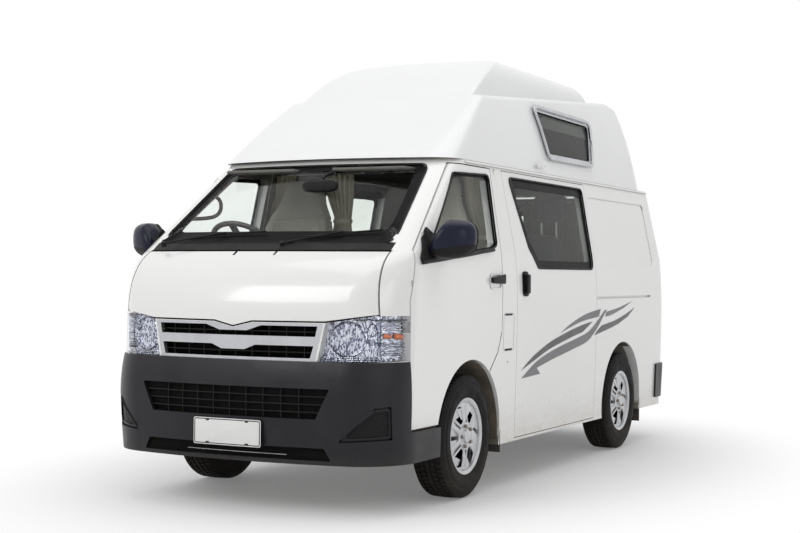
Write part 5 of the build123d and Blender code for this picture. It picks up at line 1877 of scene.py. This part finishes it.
# Bench: board base with a kick panel, cushion, backrest and a head rest on two posts
bench_front, bench_rear = -0.188, -0.755
bench_base = rounded_block(
    "bench_base", (bench_rear, -0.470, 0.600), (bench_front - 0.020, 0.470, 0.900), 0.006,
)
bench_lip = rounded_block(
    "bench_lip", (bench_front - 0.022, -0.474, 0.860), (bench_front - 0.004, 0.474, 0.904), 0.004,
)
bench_hard = fuse("bench_box", bench_base, bench_lip)
hand_over(bench_hard, cabinet_board, "van_body")
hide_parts("camper_bench")


def bench_shape(point, share):
    """Bench cushion with a soft front edge."""
    if share.x > 0.8 and share.z > 0.5:
        point.z -= 0.014 * (share.x - 0.8) / 0.2
    return point


def rest_shape(point, share):
    """Backrest that leans a little and has rounded shoulders."""
    sideways = abs(share.y * 2 - 1)
    if share.z > 0.9:
        point.z -= 0.035 * sideways**4
    point.x += 0.020 * (1.0 - share.z) * (1.0 if share.x > 0.5 else 0.3)
    return point


bench_cushion = grown_block(
    "bench_cushion", (bench_rear + 0.010, -0.548, 0.912), (bench_front - 0.012, 0.548, 1.020),
    bench_shape, 7,
)
bench_rest = grown_block(
    "bench_rest", (bench_rear + 0.010, -0.590, 1.030), (bench_rear + 0.108, 0.590, 1.484),
    rest_shape, 7,
)
plump(bench_cushion, 0.012, 0.013)
plump(bench_rest, 0.012, 0.013)
for seat_line in (-0.183, 0.183):
    groove(bench_cushion, lambda p: p.y - seat_line, 0.008, 0.012)
    groove(bench_rest, lambda p: p.y - seat_line, 0.008, 0.012)
for part in (bench_cushion, bench_rest):
    hand_over(part, bench_fabric, "van_body")
    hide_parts("camper_bench")


def head_shape(point, share):
    """Head rest, narrower at its foot."""
    sideways = share.y * 2 - 1
    point.y -= sideways * 0.018 * (1.0 - share.z)
    return point


post_steel = finish_of(
    "post_steel", (0.72, 0.72, 0.70), (0.64, 0.64, 0.62), 30.0, 0.3, 0.1, 0.3, fine=200.0,
    bump=0.03,
)
rest_posts = []
for y in (0.455, 0.560):
    rest_posts.append(
        rod("rest_post", (bench_rear + 0.066, y, 1.440), (bench_rear + 0.062, y, 1.620), 0.0065, 16)
    )
hand_over(fuse("head_rest_posts", *rest_posts), post_steel, "van_body")
head_rest = grown_block(
    "head_rest", (bench_rear + 0.030, 0.405, 1.545), (bench_rear + 0.100, 0.629, 1.716), head_shape,
    5,
)
plump(head_rest, 0.010)
hand_over(head_rest, bench_fabric, "van_body")

# Curtains behind the cab, one gathered beside the driver's seat, and one across the tail window
curtain_low, curtain_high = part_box("curtains")
cab_cloth, tail_cloth = 0.44, 1.20
curtain_top = 1.780
curtain_middle_x = (curtain_low.x + curtain_high.x) / 2


def arc_length(width, swing, pleats, steps):
    """Length of the pleated line across a given width."""
    total, last = 0.0, None
    for step in range(steps + 1):
        t = step / steps
        here = (t * width, swing * sin(2 * pi * pleats * t))
        if last:
            total += sqrt((here[0] - last[0]) ** 2 + (here[1] - last[1]) ** 2)
        last = here
    return total


def swing_for(width, cloth_width, pleats, steps, most):
    """Depth of the pleats that uses up the cloth."""
    low, high = 0.0, most
    for step in range(24):
        middle = (low + high) / 2
        if arc_length(width, middle, pleats, steps) < cloth_width:
            low = middle
        else:
            high = middle
    return low


def hang(name, x, high, low, edges, cloth_width, pleats, most=0.0175):
    """Gathered curtain on a rail; edges gives its two side lines at a height."""
    steps, rows = pleats * 16, 34
    clear_selection()
    bpy.ops.mesh.primitive_grid_add(x_subdivisions=steps, y_subdivisions=rows, size=2)
    cloth = take(name)
    swings = {}
    for vertex in cloth.data.vertices:
        t = (vertex.co.x + 1) / 2
        fall = (1 - vertex.co.y) / 2
        z = high - fall * (high - low)
        first, last = edges(z)
        key = round(abs(last - first), 4)
        if key not in swings:
            swings[key] = swing_for(key, cloth_width, pleats, steps, most)
        wave = 2 * pi * pleats * t
        vertex.co = (
            x + swings[key] * sin(wave + 0.35 * sin(3.1 * t * pleats + 5 * fall)),
            first + (last - first) * t,
            z + 0.004 * sin(wave * 0.5) * fall,
        )
    cloth.data.update()
    recalculate(cloth)
    smooth(cloth, 80)
    hand_over(cloth, curtain_cloth, "van_body")
    return cloth


cab_rail = rod(
    "curtain_rail_cab", (curtain_middle_x, -0.752, 1.784), (curtain_middle_x, 0.752, 1.784), 0.004,
    12,
)
hand_over(cab_rail, silver_paint, "van_body")
for side, word, direction in sides:

    def cab_edges(z):
        """Outer and inner line of a cab curtain that is tied back."""
        tie = (z - 1.400) / 0.19
        outer = 0.775 - max(0.0, z - 1.35) * 0.055
        return outer * side, (outer - 0.205 + 0.085 / (1.0 + tie * tie * 2.0)) * side

    curtain = hang(f"curtain_{word}", curtain_middle_x, curtain_top, 1.140, cab_edges, cab_cloth, 6)
    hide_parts("curtains")
    loop = side_block(
        f"curtain_tie_{word}", (curtain_middle_x - 0.021, 0.655, 1.386),
        (curtain_middle_x + 0.021, 0.778, 1.414), side, 0.008,
    )
    hand_over(loop, curtain_cloth, "van_body")


def middle_edges(z):
    """Side lines of the curtain beside the driver's seat, gathered at its waist."""
    tie = (z - 1.500) / 0.17
    half = 0.108 - 0.055 / (1.0 + tie * tie * 2.0)
    centre = -0.265 + 0.040 / (1.0 + tie * tie)
    return centre - half, centre + half


middle_curtain = hang(
    "curtain_middle", curtain_middle_x, curtain_top, 1.160, middle_edges, cab_cloth, 6,
)
middle_tie = rounded_block(
    "curtain_tie_middle", (curtain_middle_x - 0.021, -0.284, 1.486),
    (curtain_middle_x + 0.021, -0.168, 1.514), 0.008,
)
hand_over(middle_tie, curtain_cloth, "van_body")

tail_curtain_x = -2.080
tail_rail = rod(
    "curtain_rail_tail", (tail_curtain_x, -0.300, 1.744), (tail_curtain_x, 0.700, 1.744), 0.004, 12,
)
hand_over(tail_rail, silver_paint, "van_body")
tail_curtain = hang(
    "curtain_tail", tail_curtain_x, 1.740, 1.160, lambda z: (-0.240, 0.640), tail_cloth, 15, 0.024,
)

# Tail lamps, tailgate handle, blank plate, wiper, arch liners and roof details

def banded_lens(name):
    """Lens of a tail lamp: amber on top, clear below it and red for the rest, with fine ribs."""
    material, tree, shader = new_material(name)
    shader.inputs["Coat Weight"].default_value = 0.5
    parts = node(tree, "SeparateXYZ")
    tree.links.new(own_place(tree), parts.inputs[0])
    height = parts.outputs["Z"]
    amber = ramp(tree, height, 1.1395, 1.1405)
    clear = sum_node(
        tree, "MULTIPLY", ramp(tree, height, 0.8895, 0.8905), ramp(tree, height, 0.9805, 0.9795),
    )
    from_seam = sum_node(tree, "ABSOLUTE", sum_node(tree, "SUBTRACT", height, 1.140), 0.0)
    seams = sum_node(tree, "LESS_THAN", from_seam, 0.003)
    red = mix_colour(
        tree, noise(tree, own_place(tree), 30.0), rgba((0.33, 0.012, 0.012)),
        rgba((0.24, 0.008, 0.010)),
    )
    shade = mix_colour(tree, amber, red, rgba((0.60, 0.20, 0.03)))
    shade = mix_colour(tree, clear, shade, rgba((0.55, 0.56, 0.58)))
    shade = mix_colour(tree, seams, shade, rgba((0.06, 0.01, 0.01)))
    tree.links.new(shade, shader.inputs["Base Color"])
    wave = node(tree, "TexWave", {"Scale": 42.0, "Distortion": 0.0}, bands_direction="Z")
    tree.links.new(own_place(tree), wave.inputs["Vector"])
    tree.links.new(ramp(tree, wave.outputs[1], 0.0, 1.0, 0.12, 0.2), shader.inputs["Roughness"])
    add_relief(tree, shader, wave.outputs[1], 0.35, 0.001)
    return material


nodes["tail_lamps"].data.materials.clear()
nodes["tail_lamps"].data.materials.append(banded_lens("tail_lamp_lens"))

tailgate = nodes["tailgate"]


def rear_patch(name, corners, radius, offset, thickness, edge=0.0, cell=0.2):
    """Rounded panel on the tailgate."""
    return patch(
        name, rounded(corners, radius), across_at(tail_plane - 0.1), tailgate, "+X", offset,
        thickness, cell, edge,
    )


garnish = rear_patch("tail_garnish", oblong(0.330, 1.052, 1.112), 0.012, 0.004, 0.018, 0.004)
hand_over(garnish, body_paint, "tail_door")
grip = rear_patch("tail_grip", oblong(0.095, 1.046, 1.070), 0.010, 0.006, 0.008, 0.003)
hand_over(grip, black_trim, "tail_door")
rear_plate = rear_patch("rear_number_plate", oblong(0.190, 0.900, 1.032), 0.012, 0.003, 0.0018)
hand_over(rear_plate, plate_white, "tail_door")
lamp_pair = [
    rear_patch("plate_lamp", oblong(0.03, 1.036, 1.048, y), 0.005, 0.008, 0.012, 0.002)
    for y in (-0.10, 0.10)
]
hand_over(fuse("plate_lamps", *lamp_pair), black_trim, "tail_door")
stop_lamp = patch(
    "high_stop_lamp", rounded(oblong(0.110, 1.722, 1.742), 0.008),
    across_at(tail_plane - 0.1), tailgate, "+X", 0.003, 0.012, 0.2, 0.003,
)
stop_red = finish_of(
    "stop_lamp_red", (0.30, 0.012, 0.012), (0.22, 0.008, 0.009), 20.0, 0.15, 0.1, fine=180.0,
    bump=0.15, coat_weight=0.5,
)
hand_over(stop_lamp, stop_red, "tail_door")


def behind(y, z, lift):
    """Point on the tail window, lifted off it."""
    hit, place, normal = struck("tailgate_glass", (-3.0, y, z), (1, 0, 0))
    return place + normal * lift if hit else Vector((-2.27, y, z))


pivot = behind(0.0, 1.226, 0.0)
tail_pivot = rod(
    "tail_wiper_pivot", pivot + Vector((0.002, 0, 0)), pivot - Vector((0.030, 0, 0)), 0.017, 24,
    0.013,
)
tip = behind(-0.36, 1.275, 0.014)
tail_arm = rod(
    "tail_wiper_arm", pivot - Vector((0.024, 0, 0)), tip.lerp(pivot, 0.35) - Vector((0.010, 0, 0)),
    0.006, 10, 0.004,
)
tail_blade = rod("tail_wiper_blade", behind(-0.05, 1.240, 0.008), tip, 0.005, 8)
hand_over(
    fuse("tail_wiper", tail_pivot, tail_arm, tail_blade), black_trim, "tail_door",
)

# Dusty liners inside the wheel arches
liner_soil = finish_of(
    "liner_soil", (0.085, 0.072, 0.056), (0.15, 0.125, 0.092), 9.0, 0.75, 0.2, fine=60.0, bump=0.4,
)
liner_radius = 0.4020
liner_foot = -8  # degrees above the axle's height where a liner starts and ends


def arch_liner(name, centre_x, inner_y, outer_y, side):
    """Curved sheet under the arch."""
    foot = radians(liner_foot)
    start_x, start_z = centre_x + liner_radius * cos(foot), wheel_z + liner_radius * sin(foot)
    liner = ring_of(
        name, [(start_x, y, start_z) for y in (inner_y, (inner_y + outer_y) / 2, outer_y)],
    )
    open_ring(liner)
    edit(liner)
    bpy.ops.mesh.spin(
        steps=30, angle=radians(180 - 2 * liner_foot), center=(centre_x, 0, wheel_z), axis=(0, 1, 0)
    )
    leave()
    recalculate(liner)
    thicken(liner, 0.002, 0.0)
    smooth(liner, 50)
    if side < 0:
        mirror_over(liner)
    hand_over(liner, liner_soil, "van_body")


for side, word, direction in sides:
    arch_liner(f"arch_liner_front_{word}", front_axle_x, 0.620, 0.826, side)
    arch_liner(f"arch_liner_rear_{word}", rear_axle_x, 0.640, 0.832, side)

# Small clear marker lamp under the roof window, and the stay at the window's rear edge
marker_clear = finish_of(
    "marker_clear", (0.74, 0.73, 0.74), (0.60, 0.58, 0.60), 40.0, 0.15, 0.1, fine=300.0, bump=0.1,
    coat_weight=0.6,
)
for side, word, direction in sides:
    outline = rounded([(0.145, 1.838), (0.145, 1.862), (-0.010, 1.874), (-0.010, 1.850)], 0.010)
    marker = patch(
        f"roof_marker_{word}", outline, beside_at(side), nodes["high_roof"], direction,
        0.010, 0.012, 0.05, 0.004,
    )
    hand_over(marker, marker_clear, "van_body")
    stay = patch(
        f"roof_window_stay_{word}", rounded(
            [(-1.028, 2.190), (-1.012, 2.194), (-0.900, 1.962), (-0.916, 1.956)], 0.005,
        ),
        beside_at(side), nodes["high_roof"], direction, 0.015, 0.004, 0.1, 0.001,
    )
    hand_over(stay, black_trim, "van_body")

# Screw cap on each side
for side, word, direction in sides:
    screw = rod(
        f"side_screw_{word}", (0.800, 0.838 * side, 0.700), (0.800, 0.8455 * side, 0.700), 0.006,
        16, 0.004,
    )
    hand_over(screw, steel, "van_body")

# Camera at the photograph's place, with its small roll and shift

camera_place = Vector((8.318, 3.989, 1.188))
camera_yaw = radians(26.9)
camera_pitch = radians(0.4)
camera_roll = radians(0.5)
forward = Vector((
    -cos(camera_yaw) * cos(camera_pitch), -sin(camera_yaw) * cos(camera_pitch), sin(camera_pitch)
))
level = forward.cross(Vector((0, 0, 1))).normalized()
upward = level.cross(forward)
right = level * cos(camera_roll) + upward * sin(camera_roll)
top = upward * cos(camera_roll) - level * sin(camera_roll)
camera_data = bpy.data.cameras.new("photo_camera")
camera_data.lens = 64.95
camera_data.sensor_width = 36.0
camera_data.shift_x = -0.0031
camera_data.shift_y = -0.0029
camera_data.clip_end = 200.0
camera = bpy.data.objects.new("photo_camera", camera_data)
scene.collection.objects.link(camera)
turn = Matrix((right, top, -forward)).transposed()
camera.matrix_world = Matrix.Translation(camera_place) @ turn.to_4x4()
scene.camera = camera
scene.view_settings.view_transform = "Standard"


# Soft studio light, pale world and pale floor

def add_lamp(name, place, target, size, power):
    """Soft rectangular lamp that looks at a point."""
    data = bpy.data.lights.new(name, "AREA")
    data.shape = "RECTANGLE"
    data.size, data.size_y = size
    data.energy = power
    lamp = bpy.data.objects.new(name, data)
    scene.collection.objects.link(lamp)
    lamp.location = place
    lamp.rotation_mode = "QUATERNION"
    lamp.rotation_quaternion = (Vector(target) - Vector(place)).to_track_quat("-Z", "Y")
    return lamp


add_lamp("overhead", (1.0, 1.0, 6.5), (0.0, 0.0, 0.8), (7.0, 5.0), 128.0)
add_lamp("front_soft", (7.5, -2.0, 4.6), (1.8, 0.0, 1.1), (4.0, 3.0), 150.0)
add_lamp("side_soft", (5.0, 7.5, 3.2), (0.9, 0.8, 1.1), (4.0, 3.0), 42.0)

world = bpy.data.worlds.new("studio")
scene.world = world
world.use_nodes = True
sky = world.node_tree
background = sky.nodes["Background"]
seen = node(sky, "LightPath")
direct = sum_node(
    sky, "MAXIMUM", seen.outputs["Is Camera Ray"],
    sum_node(sky, "MAXIMUM", seen.outputs["Is Glossy Ray"], seen.outputs["Is Transmission Ray"]),
)
fill_light = 0.47
sky.links.new(ramp(sky, direct, 0.0, 1.0, fill_light, 1.0), background.inputs["Strength"])
background.inputs["Color"].default_value = white

clear_selection()
bpy.ops.mesh.primitive_plane_add(size=80.0)
floor_sheet = take("studio_floor")
floor_material, paper, paper_shader = new_material("studio_floor")
paper_shader.inputs["Base Color"].default_value = (0.86, 0.86, 0.86, 1.0)
paper_shader.inputs["Roughness"].default_value = 0.7
glow = node(paper, "Emission", {"Color": white, "Strength": 1.0})
flattened = node(paper, "Mapping", {"Scale": (0.62, 1.0, 1.0)})
paper.links.new(own_place(paper), flattened.inputs[0])
distance = node(paper, "VectorMath", operation="LENGTH")
paper.links.new(flattened.outputs[0], distance.inputs[0])
paper_seen = node(paper, "LightPath")
far_off = ramp(paper, distance.outputs["Value"], 1.05, 2.45, 0.16, 1.0)
glow_mask = sum_node(
    paper, "MULTIPLY", far_off,
    sum_node(paper, "SUBTRACT", 1.0, paper_seen.outputs["Is Diffuse Ray"]),
)
blend = node(paper, "MixShader")
paper.links.new(glow_mask, blend.inputs[0])
paper.links.new(paper_shader.outputs[0], blend.inputs[1])
paper.links.new(glow.outputs[0], blend.inputs[2])
paper.links.new(blend.outputs[0], paper.nodes["Material Output"].inputs["Surface"])
floor_sheet.data.materials.append(floor_material)
